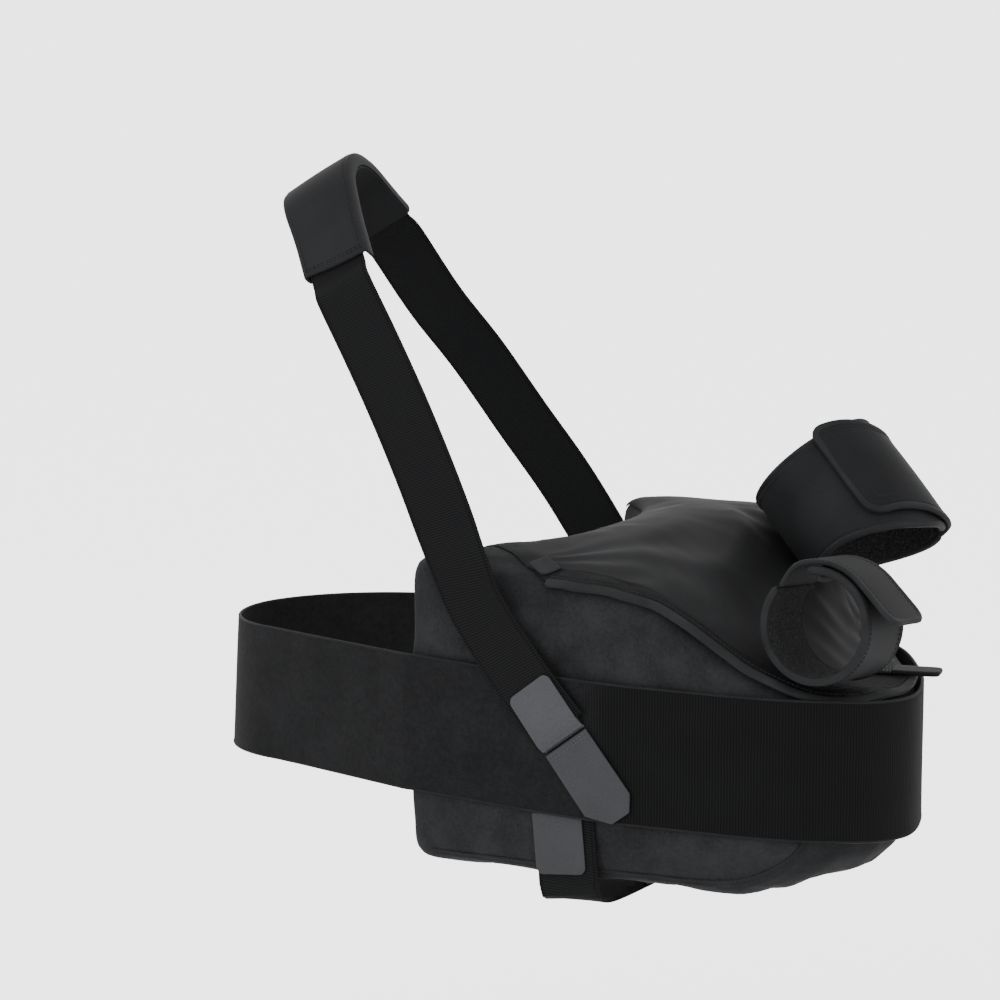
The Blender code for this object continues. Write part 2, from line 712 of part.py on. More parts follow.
def build_lower_tab():
    """The same tab at the strap's other end; its end leaf lies under the belt."""
    half = 0.5 * TAB_WIDTH

    def over_cover(offset):
        return lambda x, z: hanging(x, z, offset)

    start, line = LOWER_TAB_START, LOWER_TAB_LINE
    leaf = tab_spots(start, line, (0.0, 0.003, 0.012, 0.026, 0.0445))
    widths = np.array([half - 0.003, half, half, half, half])
    path, side, away = tab_frames(leaf, over_cover(STRAP_ON_COVER + STRAP_THICKNESS + 2.0 * GAP))
    band("lower_tab_outer_leaf", path, side, away, widths, widths, LEAF, hook_tape())
    path, side, away = tab_frames(leaf[2:], over_cover(COVER_OUT + GAP))
    band("lower_tab_inner_leaf", path, side, away, half - 0.001, half - 0.001, LEAF, hook_tape())
    end = tab_spots(start, line, (0.062, 0.075, 0.098, 0.110))
    path, side, away = tab_frames(end, over_cover(COVER_OUT + GAP))
    left = np.array([half, half, half, 0.006])
    right = np.array([half, half, half, 0.010])
    band("lower_tab_end_leaf", path, side, away, left, right, 2.0 * LEAF, hook_tape())


# The shoulder pad

def pad_frames(distances, lift):
    places = [shoulder_place(distance, lift) for distance in distances]
    path = np.array([place[0] for place in places])
    out = np.array([place[1] for place in places])
    return path, np.array([shoulder_axis()] * len(places)), out


def build_pad():
    """Padded sleeve round the strap: base cloth, foam layer and a cover with side walls."""
    distances = np.linspace(*PAD_RUN, 20)
    narrow, wide = PAD_WIDTH
    half = 0.5 * (narrow + (wide - narrow) * smoothstep(1.0 - np.abs(distances) / 0.080))
    base = 0.0012
    thick = 0.0050
    under = -0.0010
    path, side, out = pad_frames(distances, under - thick - base - GAP)
    band("pad_base_cloth", path, side, out, half, half, base, twill())
    path, side, out = pad_frames(distances, under - thick)
    band("pad_foam", path, side, out, half - 0.003, half - 0.003, thick - GAP, foam())
    # The cover is a channel: its walls reach down to the base cloth on both sides
    low = under - thick
    high = STRAP_THICKNESS + 0.0010
    wall, roof = 0.0018, 0.0022
    rows = []
    for distance, edge in zip(distances, half):
        inside = edge - wall
        profile = [(-edge, low), (-edge, high + 0.5 * roof), (0.002 - edge, high + roof),
                   (edge - 0.002, high + roof), (edge, high + 0.5 * roof), (edge, low),
                   (inside, low), (inside, high), (-inside, high), (-inside, low)]
        rows.append([shoulder_place(distance, lift)[0] + shoulder_axis() * across for across, lift in profile])
    points = np.array(rows)
    count = points.shape[1]
    faces = grid_faces(len(distances), count, closed=True)
    faces.append(list(range(count)))
    faces.append([(len(distances) - 1) * count + j for j in range(count)])
    add_object("pad_cover", points.reshape(-1, 3), faces, twill())


# What lies on top of the cushion

def build_top(surface):
    """The forearm sheet, the base strap that the cuffs hold on to, and its bound edge and tabs."""
    low = COVER_OUT + GAP
    points = surface[0]
    begin = int(np.argmin(np.abs(points[:STATIONS // 2, 11, 0] - 0.137)))
    finish = begin + int(np.argmin(np.linalg.norm(points[begin:, 11, :2] - np.array([0.362, -0.085]), axis=1)))
    cushion_patch("forearm_sheet", surface, slice(begin, STATIONS - 2), range(13, 18), low, low + 0.0012, twill(),
                  border=0.0004)
    cushion_patch("forearm_base_strap", surface, slice(begin, finish + 1), range(10, 14), low, low + 0.0025,
                  webbing(), border=0.0004)
    cushion_patch("base_strap_binding", surface, slice(begin, finish + 1), (9, 10), low, low + 0.0028, bias_tape())
    up = np.array([[0.0, 0.0, 1.0]] * 2)
    across = unit(points[begin, 13] - points[begin, 11])
    before = unit(np.cross(across, up[0]))
    if before[0] > 0.0:
        before = -before
    start = points[begin, 12] + before * 0.0008 + up[0] * (low + 0.0006)
    left = np.array([start, start + before * 0.010])
    taper = np.array([0.012, 0.009])
    band("base_strap_start_tab", left, np.array([across] * 2), up, taper, taper, 0.0016, hook_tape())
    level = ARM_REST + low + 0.0025 + 3.0 * GAP
    end = np.array([[0.3690, -0.0985, level], [0.4010, -0.0945, level]])
    side = np.array([unit(np.array([-0.12, 1.0, 0.0]))] * 2)
    band("base_strap_end_tab", end, side, up, 0.011, 0.011, 0.0026, hook_tape())


# The cuffs

def cuff_basis(axis, reference):
    """Axis and two directions across it: the first one leans towards the reference."""
    axis = unit(axis)
    first = unit(np.array(reference) - axis * np.dot(reference, axis))
    return axis, first, np.cross(axis, first)


class Cuff:
    """Places on a cuff: an angle round it, a distance along it and a radius."""

    def __init__(self, centre, axis, reference, turn):
        self.centre = np.array(centre)
        self.axis, self.first, second = cuff_basis(axis, reference)
        self.second = second * turn

    def frames(self, degrees, radii, shift):
        angle = np.radians(np.asarray(degrees, float))[:, None]
        out = np.cos(angle) * self.first + np.sin(angle) * self.second
        along = np.broadcast_to(shift, len(angle))[:, None]
        path = self.centre + self.axis * along + out * np.broadcast_to(radii, len(angle))[:, None]
        side = np.array([self.axis] * len(angle))
        return path, side, out


def arm_cuff():
    """Angles run from the wearer's front towards the lateral side."""
    return Cuff(ARM_CENTRE, ARM_AXIS, (0.0, -1.0, 0.0), -1.0)


def wrist_cuff():
    """Angles run from the top towards the lateral side."""
    return Cuff(WRIST_CENTRE, WRIST_AXIS, (0.0, 0.0, 1.0), -1.0)


def cuff_band(name, cuff, angles, radius, half, extra, thickness, finish, shift=0.0):
    """A band round the cuff; extra widens it on the side the axis points to."""
    path, side, out = cuff.frames(angles, radius, shift)
    band(name, path, side, out, np.full(len(angles), half), half + extra, thickness, finish)


def lateral_flare(angles):
    """The upper-arm cuff is cut longer over the lateral side of the arm."""
    turned = np.where(angles < -90.0, angles + 360.0, angles)
    return 0.024 * smoothstep((turned + 20.0) / 105.0) * smoothstep((235.0 - turned) / 105.0)


def build_cuff_body(name, cuff, radius, width, first, last, edges, flare):
    """Lining, shell and the two bound edges of one cuff."""
    angles = np.linspace(first, last, 30)
    extra = flare(angles)
    outside = radius + CUFF_LINING + GAP
    half = 0.5 * width - 0.005
    cuff_band(name + "_lining", cuff, angles, radius, half, extra, CUFF_LINING, mesh_lining())
    cuff_band(name + "_shell", cuff, angles, outside, half, extra, CUFF_SHELL, twill())
    whole = CUFF_LINING + CUFF_SHELL + GAP
    for sign, edge, more in zip((-1.0, 1.0), edges, (0.0 * extra, extra)):
        shift = sign * (0.5 * width - 0.0022) + more
        cuff_band(name + edge, cuff, angles, radius, 0.0022, 0.0 * extra, whole, bias_tape(), shift)


def flap_pieces(name, points, axis, centre, halves, corners, hinge):
    """A flap with its bound rim and the hook patch under its free end.

    The halves reach from its centre line against and along the axis, and the corners are
    how much each of them loses at the free end.
    """
    side = np.array([axis] * len(points))
    along = tangents(points)
    out = unit(np.cross(side, along))
    if np.dot(out[0], points[0] - centre) < 0.0:
        out = -out
    at_end = np.linspace(0.0, 1.0, len(points)) > 0.98
    outer = [np.where(at_end, half - cut, half) for half, cut in zip(halves, corners)]
    inner = [wide - 0.0035 for wide in outer]
    band(name, points, side, out, inner[0], inner[1], 0.0026, twill(), offset=0.0012, origin=hinge)
    # The rim: two side strips and the end strip in one closed piece, open at the root
    outer_left = points - side * outer[0][:, None]
    outer_right = points + side * outer[1][:, None]
    gap = 0.0004
    inner_left = points - side * (inner[0] + gap)[:, None]
    inner_right = points + side * (inner[1] + gap)[:, None]
    beyond = along[-1] * 0.0035
    clear = along[-1] * gap
    rim_outer = np.vstack([outer_left[:-1], [outer_left[-1] + beyond], [outer_right[-1] + beyond],
                           outer_right[:-1][::-1]])
    rim_inner = np.vstack([inner_left[:-1], [inner_left[-1] + clear], [inner_right[-1] + clear],
                           inner_right[:-1][::-1]])
    away = np.vstack([out, out[::-1]])
    ring = np.stack([rim_outer, rim_inner], 1)
    low, high = ring + away[:, None] * 0.0008, ring + away[:, None] * 0.0044
    sheet_solid(name + "_binding", high, low, bias_tape(), hinge)
    patch = slice(len(points) - 5, len(points) - 1)
    reach = [half - 0.008 - cut for half, cut in zip(halves, corners)]
    band(name + "_hook_patch", points[patch], side[patch], out[patch], reach[0], reach[1], 0.0009,
         hook_tape(), origin=hinge)


def build_upper_arm_cuff():
    cuff = arm_cuff()
    build_cuff_body("upper_arm_cuff", cuff, ARM_RADIUS, ARM_CUFF_WIDTH, 115.0, -228.0,
                    ("_upper_binding", "_lower_binding"), lateral_flare)
    outside = ARM_RADIUS + CUFF_LINING + CUFF_SHELL + 3.0 * GAP + 0.0006
    angles = np.concatenate([[129.5, 126.5, 123.0, 119.5, 116.5], np.linspace(109.0, 25.0, 13)])
    step = smoothstep((129.5 - angles) / 11.0)
    path, _, _ = cuff.frames(angles, ARM_RADIUS - 0.0004 + (outside - ARM_RADIUS + 0.0004) * step, 0.0)
    slant = smoothstep((angles - 30.0) / 85.0)
    path = path + cuff.axis * (0.022 * slant - 0.009)[:, None]
    hinge = cuff.frames([130.0], ARM_RADIUS + 0.0046, 0.013)[0][0]
    flap_pieces("upper_arm_flap", path, cuff.axis, cuff.centre, (0.033, 0.048), (0.005, 0.014), hinge)


def build_wrist_cuff():
    cuff = wrist_cuff()
    build_cuff_body("wrist_cuff", cuff, WRIST_RADIUS, WRIST_CUFF_WIDTH, -12.0, 308.0,
                    ("_rear_binding", "_front_binding"), lambda angles: 0.0 * angles)
    outside = WRIST_RADIUS + CUFF_LINING + CUFF_SHELL + 3.0 * GAP + 0.0006
    angles = np.concatenate([np.linspace(-49.0, -17.0, 7), np.linspace(-9.0, 44.0, 8)])
    step = smoothstep((angles + 49.0) / 30.0)
    wrapped, _, _ = cuff.frames(angles, WRIST_RADIUS - 0.0004 + (outside - WRIST_RADIUS + 0.0004) * step, 0.0)
    straight = unit(wrapped[-1] - wrapped[-2])
    tail = np.array([wrapped[-1] + straight * s for s in (0.009, 0.018, 0.027, 0.036)])
    path = np.vstack([wrapped, tail])
    hinge = cuff.frames([-49.5], WRIST_RADIUS + 0.0046, 0.0)[0][0]
    flap_pieces("wrist_flap", path, cuff.axis, cuff.centre, (0.027, 0.027), (0.007, 0.007), hinge)


def clear_scene():
    for found in list(bpy.data.objects):
        bpy.data.objects.remove(found)


def main():
    clear_scene()
    surface = cushion_surface()
    build_foam(surface)
    build_cover(surface)
    build_front_binding()
    build_zip()
    end, along = build_belt()
    build_belt_tab(end, along)
    build_strap()
    build_front_tab()
    build_lower_tab()
    build_pad()
    build_top(surface)
    build_upper_arm_cuff()
    build_wrist_cuff()


main()
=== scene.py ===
"""Abduction arm sling: the looks of each piece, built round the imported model. Lengths are in metres."""
import math

import bmesh
import bpy
import numpy as np
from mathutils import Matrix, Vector, noise
from mathutils.bvhtree import BVHTree


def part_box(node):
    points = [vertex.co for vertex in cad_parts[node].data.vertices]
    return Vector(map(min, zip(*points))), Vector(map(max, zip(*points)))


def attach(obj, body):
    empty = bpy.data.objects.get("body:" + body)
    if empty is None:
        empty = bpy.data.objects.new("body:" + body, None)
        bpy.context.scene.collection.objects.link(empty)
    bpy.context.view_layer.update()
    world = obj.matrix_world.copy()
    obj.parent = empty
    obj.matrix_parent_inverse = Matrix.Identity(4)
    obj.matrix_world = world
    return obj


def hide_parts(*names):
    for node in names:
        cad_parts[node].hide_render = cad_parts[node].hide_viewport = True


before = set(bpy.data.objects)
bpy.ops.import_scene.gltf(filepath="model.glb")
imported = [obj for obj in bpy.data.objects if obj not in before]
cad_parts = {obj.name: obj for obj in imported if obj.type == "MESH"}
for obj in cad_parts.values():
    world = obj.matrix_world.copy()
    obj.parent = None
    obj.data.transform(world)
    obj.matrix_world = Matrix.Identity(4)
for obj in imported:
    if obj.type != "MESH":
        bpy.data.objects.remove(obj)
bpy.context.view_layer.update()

# ---------------------------------------------------------------- dimensions, as in the CAD model
TRUNK = (0.152, 0.107)
BODY_SIDE = (0.156, 0.112)
BODY_SIDE_ANGLES = (-79.3, 31.0)
OUTLINE = [(0.029, -0.156), (0.100, -0.171), (0.170, -0.183), (0.240, -0.192), (0.300, -0.195),
           (0.350, -0.182), (0.3805, -0.142), (0.3825, -0.092), (0.370, -0.040), (0.344, 0.016),
           (0.297, 0.050), (0.245, 0.066), (0.195, 0.073), (0.148, 0.074)]
COVER_OUT = 0.0020
BELT_WIDTH = 0.100
BELT_THICKNESS = 0.0025
BELT_OFFSET = 0.0040
BELT_BULGE = 0.0042
BELT_LAP = 0.060
BELT_CLOSURE_X = 0.112
STRAP_WIDTH = 0.046
STRAP_THICKNESS = 0.0018
LEAF = 0.0012
GAP = 0.0003
TAB_WIDTH = 0.038
OVER_BELT = 0.0008
STRAP_OVER_BELT = OVER_BELT + LEAF + GAP
STRAP_ON_COVER = COVER_OUT + LEAF + 2.0 * GAP
SHOULDER_CENTRE = np.array([-0.0575, -0.0064, 0.3430])
SHOULDER_RADIUS = 0.047
SHOULDER_TILT = math.radians(32.0)
SHOULDER_SLOPE = math.radians(51.0)
PAD_RUN = (-0.078, 0.106)
ARM_AXIS = (0.641, -0.263, -0.720)
ARM_CENTRE = (0.313, -0.0125, 0.158)
ARM_RADIUS = 0.045
ARM_CUFF_WIDTH = 0.075
WRIST_AXIS = (-0.253, -0.962, 0.101)
WRIST_CENTRE = (0.338, -0.172, 0.0985)
WRIST_RADIUS = 0.0355
WRIST_CUFF_WIDTH = 0.060
FRONT_TAB_START = np.array([0.1276, 0.0462])
FRONT_TAB_LINE = np.array([0.593, -0.805])
LOWER_TAB_START = np.array([0.1515, -0.0885])
LOWER_TAB_LINE = np.array([-0.09, 1.0])
FOAM_TOP_FRONT = 0.126
FOAM_TOP_RISE = 0.0140
FRONT_DROP = 0.008
ARM_REST = 0.046
UP = np.array([0.0, 0.0, 1.0])
SHOULDER_AXIS = np.array([math.cos(SHOULDER_TILT), 0.0, math.sin(SHOULDER_TILT)])
EDGE_REST = 0.0125      # how far in from the cushion's outline the cloth on its top comes to rest
DYE = 0.31              # how dark the cloth's greys are dyed


# ---------------------------------------------------------------- numbers
def unit(vector):
    vector = np.asarray(vector, float)
    return vector / np.maximum(np.linalg.norm(vector, axis=-1, keepdims=True), 1e-12)


def smoothstep(x):
    x = np.clip(x, 0.0, 1.0)
    return x * x * (3.0 - 2.0 * x)


def distances(path):
    """How far along the path each of its points lies."""
    return np.concatenate([[0.0], np.cumsum(np.linalg.norm(np.diff(path, axis=0), axis=1))])


def pick(at, marks, values):
    """The values, column by column, at places between the marks."""
    return np.stack([np.interp(at, marks, column) for column in values.T], -1)


def smooth_path(points, count):
    """Even points along a Catmull-Rom curve through the given points."""
    points = np.asarray(points, float)
    padded = np.vstack([2.0 * points[0] - points[1], points, 2.0 * points[-1] - points[-2]])
    fine = []
    for a, b, c, d in zip(padded, padded[1:], padded[2:], padded[3:]):
        t = np.linspace(0.0, 1.0, 20, endpoint=False)[:, None]
        fine.append(0.5 * (2.0 * b + (c - a) * t + (2.0 * a - 5.0 * b + 4.0 * c - d) * t ** 2
                           + (3.0 * b - a - 3.0 * c + d) * t ** 3))
    fine.append(points[-1:])
    return even(np.vstack(fine), count)


def even(path, count):
    """Equal steps along the path, measured on its first three columns at most."""
    marks = distances(path[:, :3])
    return pick(np.linspace(0.0, marks[-1], count), marks, path)


def tangents(path):
    return unit(np.gradient(np.asarray(path, float), axis=0))


def wander(points, scale, seed=0.0):
    """Smooth noise at each point, from about -1 to 1."""
    shift = Vector((seed, seed * 0.7, -seed))
    return np.array([noise.noise(Vector(p) * scale + shift) for p in points])


def lay(s, v):
    """Places on a strip; one of s and v may be a constant."""
    return np.stack(np.broadcast_arrays(s, v), 1)


def ripples(size, scale, seed, squeeze=1.0):
    """Soft waves over a strip, as a height for each (s, v)."""
    def relief(s, v):
        points = np.stack([s.ravel(), v.ravel() * squeeze, np.zeros(s.size)], 1)
        return size * wander(points, scale, seed).reshape(s.shape)
    return relief


# ---------------------------------------------------------------- meshes
def put(name, data):
    holder = bpy.data.objects.new(name, data)
    bpy.context.scene.collection.objects.link(holder)
    return holder


def ring_faces(rows, ring, base=0):
    """Faces between rows of points that are closed rings."""
    return [(base + i * ring + j, base + i * ring + (j + 1) % ring,
             base + (i + 1) * ring + (j + 1) % ring, base + (i + 1) * ring + j)
            for i in range(rows - 1) for j in range(ring)]


def make(name, points, faces, finish, slot, node=None, body="sling", uvs=None, sharp=40.0):
    """One closed mesh that rides on a body and stands for a CAD node."""
    mesh = bpy.data.meshes.new(name)
    mesh.from_pydata([tuple(p) for p in np.asarray(points, float)], [], [tuple(f) for f in faces])
    if uvs is not None:
        layer = mesh.uv_layers.new(name="lay")
        corners = np.zeros(len(mesh.loops), np.int32)
        mesh.loops.foreach_get("vertex_index", corners)
        layer.data.foreach_set("uv", np.asarray(uvs, np.float32)[corners].ravel())
    shaped = bmesh.new()
    shaped.from_mesh(mesh)
    bmesh.ops.recalc_face_normals(shaped, faces=shaped.faces)
    shaped.to_mesh(mesh)
    shaped.free()
    mesh.shade_smooth()
    mesh.set_sharp_from_angle(angle=math.radians(sharp))
    mesh.materials.append(finish)
    piece = put(name, mesh)
    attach(piece, body)
    if node:
        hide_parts(node)
    return piece


class Strip:
    """A strip of space along a path: s runs along it, v across it and h away from its face."""

    def __init__(self, path, side, out):
        self.path = np.asarray(path, float)
        self.side, self.out = (unit(np.broadcast_to(way, self.path.shape)) for way in (side, out))
        self.marks = distances(self.path)
        self.length = float(self.marks[-1])

    def at(self, s, v, h=0.0):
        s, v, h = np.broadcast_arrays(np.asarray(s, float), v, h)
        inside = np.clip(s, 0.0, self.length)
        side, out = self.frame(inside)
        first = unit(self.path[1] - self.path[0])
        last = unit(self.path[-1] - self.path[-2])
        base = pick(inside, self.marks, self.path) + np.where(s < 0.0, s, 0.0)[..., None] * first
        base = base + np.where(s > self.length, s - self.length, 0.0)[..., None] * last
        return base + side * v[..., None] + out * h[..., None]

    def frame(self, s):
        return unit(pick(s, self.marks, self.side)), unit(pick(s, self.marks, self.out))


def facing(path, out):
    """Strip along a path whose face looks the given way."""
    return Strip(path, np.cross(out, tangents(path)), out)


def through(frames):
    """Strip through places that each hold a point and the way out of the surface there."""
    return facing(np.array([f[0] for f in frames]), np.array([f[1] for f in frames]))


def slab(name, strip, halves, low, high, finish, slot, node=None, body="sling", span=None,
         columns=12, step=0.003, relief=None, lift=None):
    """A soft-edged strap along the strip, between two heights over it.

    The halves are its reach to each side: one value, or a pair for left and right. The span is where
    it starts and stops along the strip, which is the whole strip when none is given.
    """
    first, last = span or (0.0, strip.length)
    middle, half = 0.5 * (low + high), 0.5 * (high - low)
    ends = half * np.array([0.0, 0.15, 0.5, 1.0])
    count = max(3, int(round((last - first) / step)))
    inner = np.linspace(first + half * 1.6, last - half * 1.6, count)
    s = np.concatenate([first + ends, inner, (last - ends)[::-1]])
    near = np.minimum(s - first, last - s)
    shrink = np.sqrt(np.clip(1.0 - (1.0 - np.clip(near / half, 0.0, 1.0)) ** 2, 0.04, 1.0))
    pair = halves if isinstance(halves, tuple) else (halves, halves)
    left, right = (np.array([reach(x) if callable(reach) else reach for x in s])[:, None] for reach in pair)
    share = 0.5 - 0.5 * np.cos(np.pi * np.linspace(0.0, 1.0, columns))
    share = 0.4 * share + 0.6 * np.linspace(0.0, 1.0, columns)
    arc = np.radians([50.0, 0.0, -50.0])
    v0, v1, shrink = half - left, right - half, shrink[:, None]
    flat, bow = v0 + (v1 - v0) * share, half * np.cos(arc) * shrink
    v = np.hstack([flat, v1 + bow, flat[:, ::-1], v0 - bow])
    tall = np.concatenate([np.ones(columns), np.sin(arc), -np.ones(columns), -np.sin(arc)])
    h = middle + half * (tall * shrink)
    stations = np.repeat(s[:, None], v.shape[1], axis=1)
    if lift is not None:
        h = h + lift(stations, v)
    if relief is not None:
        h = h + relief(stations, v) * np.repeat([1.0, 0.5, 0.0, 0.5], [columns, 3, columns, 3])
    rows, ring = v.shape
    faces = ring_faces(rows, ring)
    under = 2 * columns + 2
    for base in (0, (rows - 1) * ring):
        faces += [(base + j, base + j + 1, base + under - j - 1, base + under - j) for j in range(columns - 1)]
        faces.append(tuple(base + columns - 1 + j for j in range(5)))
        faces.append(tuple(base + (under + j) % ring for j in range(5)))
    return make(name, strip.at(stations, v, h).reshape(-1, 3), faces, finish, slot, node, body,
                lay(stations.ravel(), v.ravel()))


def edging(name, strip, line, half, low, high, finish, slot, node=None, body="sling", step=0.003):
    """Rounded tape along a line of (s, v) places on the strip."""
    s, v = np.asarray(line, float).T
    tape = facing(strip.at(s, v), strip.frame(s)[1])
    return slab(name, tape, half, low, high, finish, slot, node, body, columns=5, step=step)


def stitches(name, strip, lines, height, finish, slot, body="sling", pitch=0.0034, length=0.0024, radius=0.00036):
    """Rows of single stitches along lines of (s, v) places on the strip."""
    points, faces = [], []
    ring = np.radians(np.arange(0.0, 360.0, 72.0))
    size = len(ring)
    for number, line in enumerate(lines):
        s, v = np.asarray(line, float).T
        path = strip.at(s, v, height)
        marks = distances(path)
        count = max(1, int(marks[-1] / pitch))
        for i in range(count):
            middle = (i + 0.5) * marks[-1] / count
            start, end = pick([middle - 0.0005, middle + 0.0005], marks, path)
            centre, along = 0.5 * (start + end), unit(end - start)
            out = strip.frame(float(np.interp(middle, marks, s)))[1]
            side = unit(np.cross(out, along))
            along = unit(along + side * 0.10 * math.sin(12.9898 * (i + 1) + 4.1 * number))
            base = len(points)
            for place, wide in ((-0.5, 0.25), (-0.28, 0.95), (0.28, 0.95), (0.5, 0.25)):
                points += [centre + along * length * place
                           + (side * math.cos(a) + out * math.sin(a)) * radius * wide for a in ring]
            faces += ring_faces(4, size, base)
            faces.append(tuple(range(base, base + size))[::-1])
            faces.append(tuple(range(base + 3 * size, base + 4 * size)))
    return make(name, points, faces, finish, slot, body=body, sharp=60.0)


def corner(half, end, radius):
    """Half width that rounds the corner at one end of a strap; end is where it stops."""
    def width(s):
        beyond = max(0.0, radius - abs(end - s))
        return half - radius + math.sqrt(max(radius * radius - beyond * beyond, 0.0))
    return width


def round_end(first, last, halves, radii, inset=0.0, count=7):
    """Line of (s, v) up one edge, round the free end and back along the other edge."""
    last = last - inset
    left, right = halves[0] - inset, halves[1] - inset
    one, two = (max(radius - inset, 0.0008) for radius in radii)
    turn = np.radians(np.linspace(0.0, 90.0, count))
    steps = max(4, int((last - first) / 0.003))
    line = [(s, -left) for s in np.linspace(first, last - one, steps)[:-1]]
    line += [(last - one * (1.0 - math.sin(a)), -left + one * (1.0 - math.cos(a))) for a in turn]
    across = np.linspace(one - left, right - two, max(4, int((left + right) / 0.003)))[1:-1]
    line += [(last, v) for v in across]
    line += [(last - two * (1.0 - math.cos(a)), right - two * (1.0 - math.sin(a))) for a in turn]
    line += [(s, right) for s in np.linspace(last - two, first, steps)[1:]]
    return line


# ---------------------------------------------------------------- materials
class Nodes:
    """Short calls for building one material's nodes."""

    def __init__(self, name):
        self.material = bpy.data.materials.new(name)
        self.material.use_nodes = True
        self.tree = self.material.node_tree
        self.tree.nodes.clear()
        self.shader = self.tree.nodes.new("ShaderNodeBsdfPrincipled")
        self.add("OutputMaterial", {0: self.shader.outputs[0]})
        self.place = self.add("TexCoord", {})

    def feed(self, node, index, value):
        """Sets an input, or links it when the value is another node's output."""
        if isinstance(value, bpy.types.NodeSocket):
            self.tree.links.new(value, node.inputs[index])
        else:
            node.inputs[index].default_value = value

    def add(self, kind, inputs, **settings):
        node = self.tree.nodes.new("ShaderNode" + kind)
        for key, value in settings.items():
            setattr(node, key, value)
        for key, value in inputs.items():
            self.feed(node, key, value)
        return node.outputs

    def math(self, operation, a, b=0.0, c=0.0, clamp=False):
        return self.add("Math", {0: a, 1: b, 2: c}, operation=operation, use_clamp=clamp)[0]

    def sum(self, *parts):
        """Adds up pairs of a value and its weight."""
        total, *others = [self.math("MULTIPLY", value, weight) for value, weight in parts]
        for other in others:
            total = self.math("ADD", total, other)
        return total

    def noise(self, scale, detail=2.0, rough=0.55):
        return self.add("TexNoise", {"Scale": scale, "Detail": detail, "Roughness": rough,
                                     "Vector": self.place["Object"]})["Fac"]

    def cells(self, scale):
        return self.add("TexVoronoi", {"Scale": scale, "Vector": self.place["Object"]})["Distance"]

    def split(self, name):
        return self.add("SeparateXYZ", {0: self.place[name]})

    def sine(self, position, period, wobble=0.0):
        """Waves from 0 to 1 along a position in metres."""
        phase = self.math("ADD", self.math("MULTIPLY", position, 2.0 * math.pi / period), wobble)
        return self.math("MULTIPLY_ADD", self.math("SINE", phase), 0.5, 0.5)

    def ramp(self, value, low, high):
        """Runs from 0 to 1 as the value goes from low to high."""
        return self.add("MapRange", {0: value, 1: low, 2: high}, interpolation_type="SMOOTHSTEP")[0]

    def tint(self, value, dark, light):
        """Colour that goes from dark to light as the value goes from 0 to 1."""
        return self.add("Mix", {0: value, 6: dark, 7: light}, data_type="RGBA")[2]

    def bump(self, height, strength, distance):
        normal = self.add("Bump", {"Strength": strength, "Distance": distance, "Height": height})[0]
        self.feed(self.shader, "Normal", normal)

    def finish(self, colour, roughness, sheen=0.002, specular=0.03):
        for name, value in (("Base Color", colour), ("Roughness", roughness), ("Sheen Weight", sheen),
                            ("Sheen Roughness", 0.45), ("Specular IOR Level", specular)):
            self.feed(self.shader, name, value)
        return self.material


def grey(level, blue=1.06):
    """A nearly black grey with a cool cast."""
    return level * DYE * 0.975, level * DYE, level * DYE * blue, 1.0


def velour():
    """Short loop pile with a brushed, slightly cloudy face."""
    n = Nodes("velour")
    pile, tuft = n.noise(1500.0, 3.0, 0.7), n.noise(420.0, 3.0, 0.6)
    mix = n.sum((pile, 0.45), (tuft, 0.30), (n.noise(26.0, 3.0, 0.6), 0.50))
    n.bump(n.math("ADD", pile, tuft), 0.5, 0.0005)
    return n.finish(n.tint(n.ramp(mix, 0.42, 0.84), grey(0.0150), grey(0.0390)),
                    n.math("MULTIPLY_ADD", tuft, 0.15, 0.80), 0.008)


def belt_cloth():
    """Brushed loop cloth, with fine ribs across the belt on its left part."""
    n = Nodes("belt_loop_cloth")
    where = n.split("Object")
    fuzz, tuft = n.noise(900.0, 3.0, 0.7), n.noise(230.0, 3.0, 0.65)
    ribs = n.sine(n.split("UV")[0], 0.0021, n.sum((n.noise(60.0, 1.0), 2.0)))
    side = n.math("MULTIPLY", n.ramp(where[0], 0.158, 0.190), n.ramp(n.sum((where[1], -1.0)), 0.0, 0.05))
    plain = n.sum((fuzz, 0.55), (tuft, 0.45))
    ribbed = n.sum((ribs, 0.55), (fuzz, 0.40))
    pattern = n.sum((plain, n.math("SUBTRACT", 1.0, side)), (ribbed, side))
    mix = n.sum((pattern, 0.75), (n.noise(30.0, 2.0, 0.6), 0.25))
    left = n.tint(n.ramp(mix, 0.30, 0.75), grey(0.0095), grey(0.0225))
    right = n.tint(n.ramp(mix, 0.15, 0.95), grey(0.0050), grey(0.0125))
    n.bump(pattern, 0.6, 0.0006)
    return n.finish(n.tint(side, left, right), 0.88, 0.004)


def webbing(name="rib_webbing", period=0.0019, dark=0.0030, light=0.0160):
    """Woven strap with fine ribs across it and a plain selvedge line near each edge."""
    n = Nodes(name)
    uv = n.split("UV")
    ribs = n.sine(n.math("MULTIPLY_ADD", uv[1], 0.16, uv[0]), period, n.sum((n.noise(90.0, 2.0), 3.5)))
    yarns = n.sine(uv[1], 0.0011)
    edge = n.math("ABSOLUTE", uv[1])
    band = n.math("MULTIPLY", n.ramp(edge, 0.0195, 0.0202), n.math("SUBTRACT", 1.0, n.ramp(edge, 0.0210, 0.0217)))
    weave = n.math("MULTIPLY", n.math("POWER", ribs, 0.7), n.math("MULTIPLY_ADD", yarns, 0.25, 0.75))
    value = n.sum((weave, 0.62), (n.noise(1400.0, 2.0, 0.6), 0.38))
    value = n.math("SUBTRACT", value, n.sum((band, 0.30)), clamp=True)
    n.bump(n.math("SUBTRACT", weave, n.sum((band, 0.8))), 0.7, 0.0005)
    return n.finish(n.tint(value, grey(dark), grey(light, 1.08)), n.math("MULTIPLY_ADD", ribs, -0.12, 0.78))


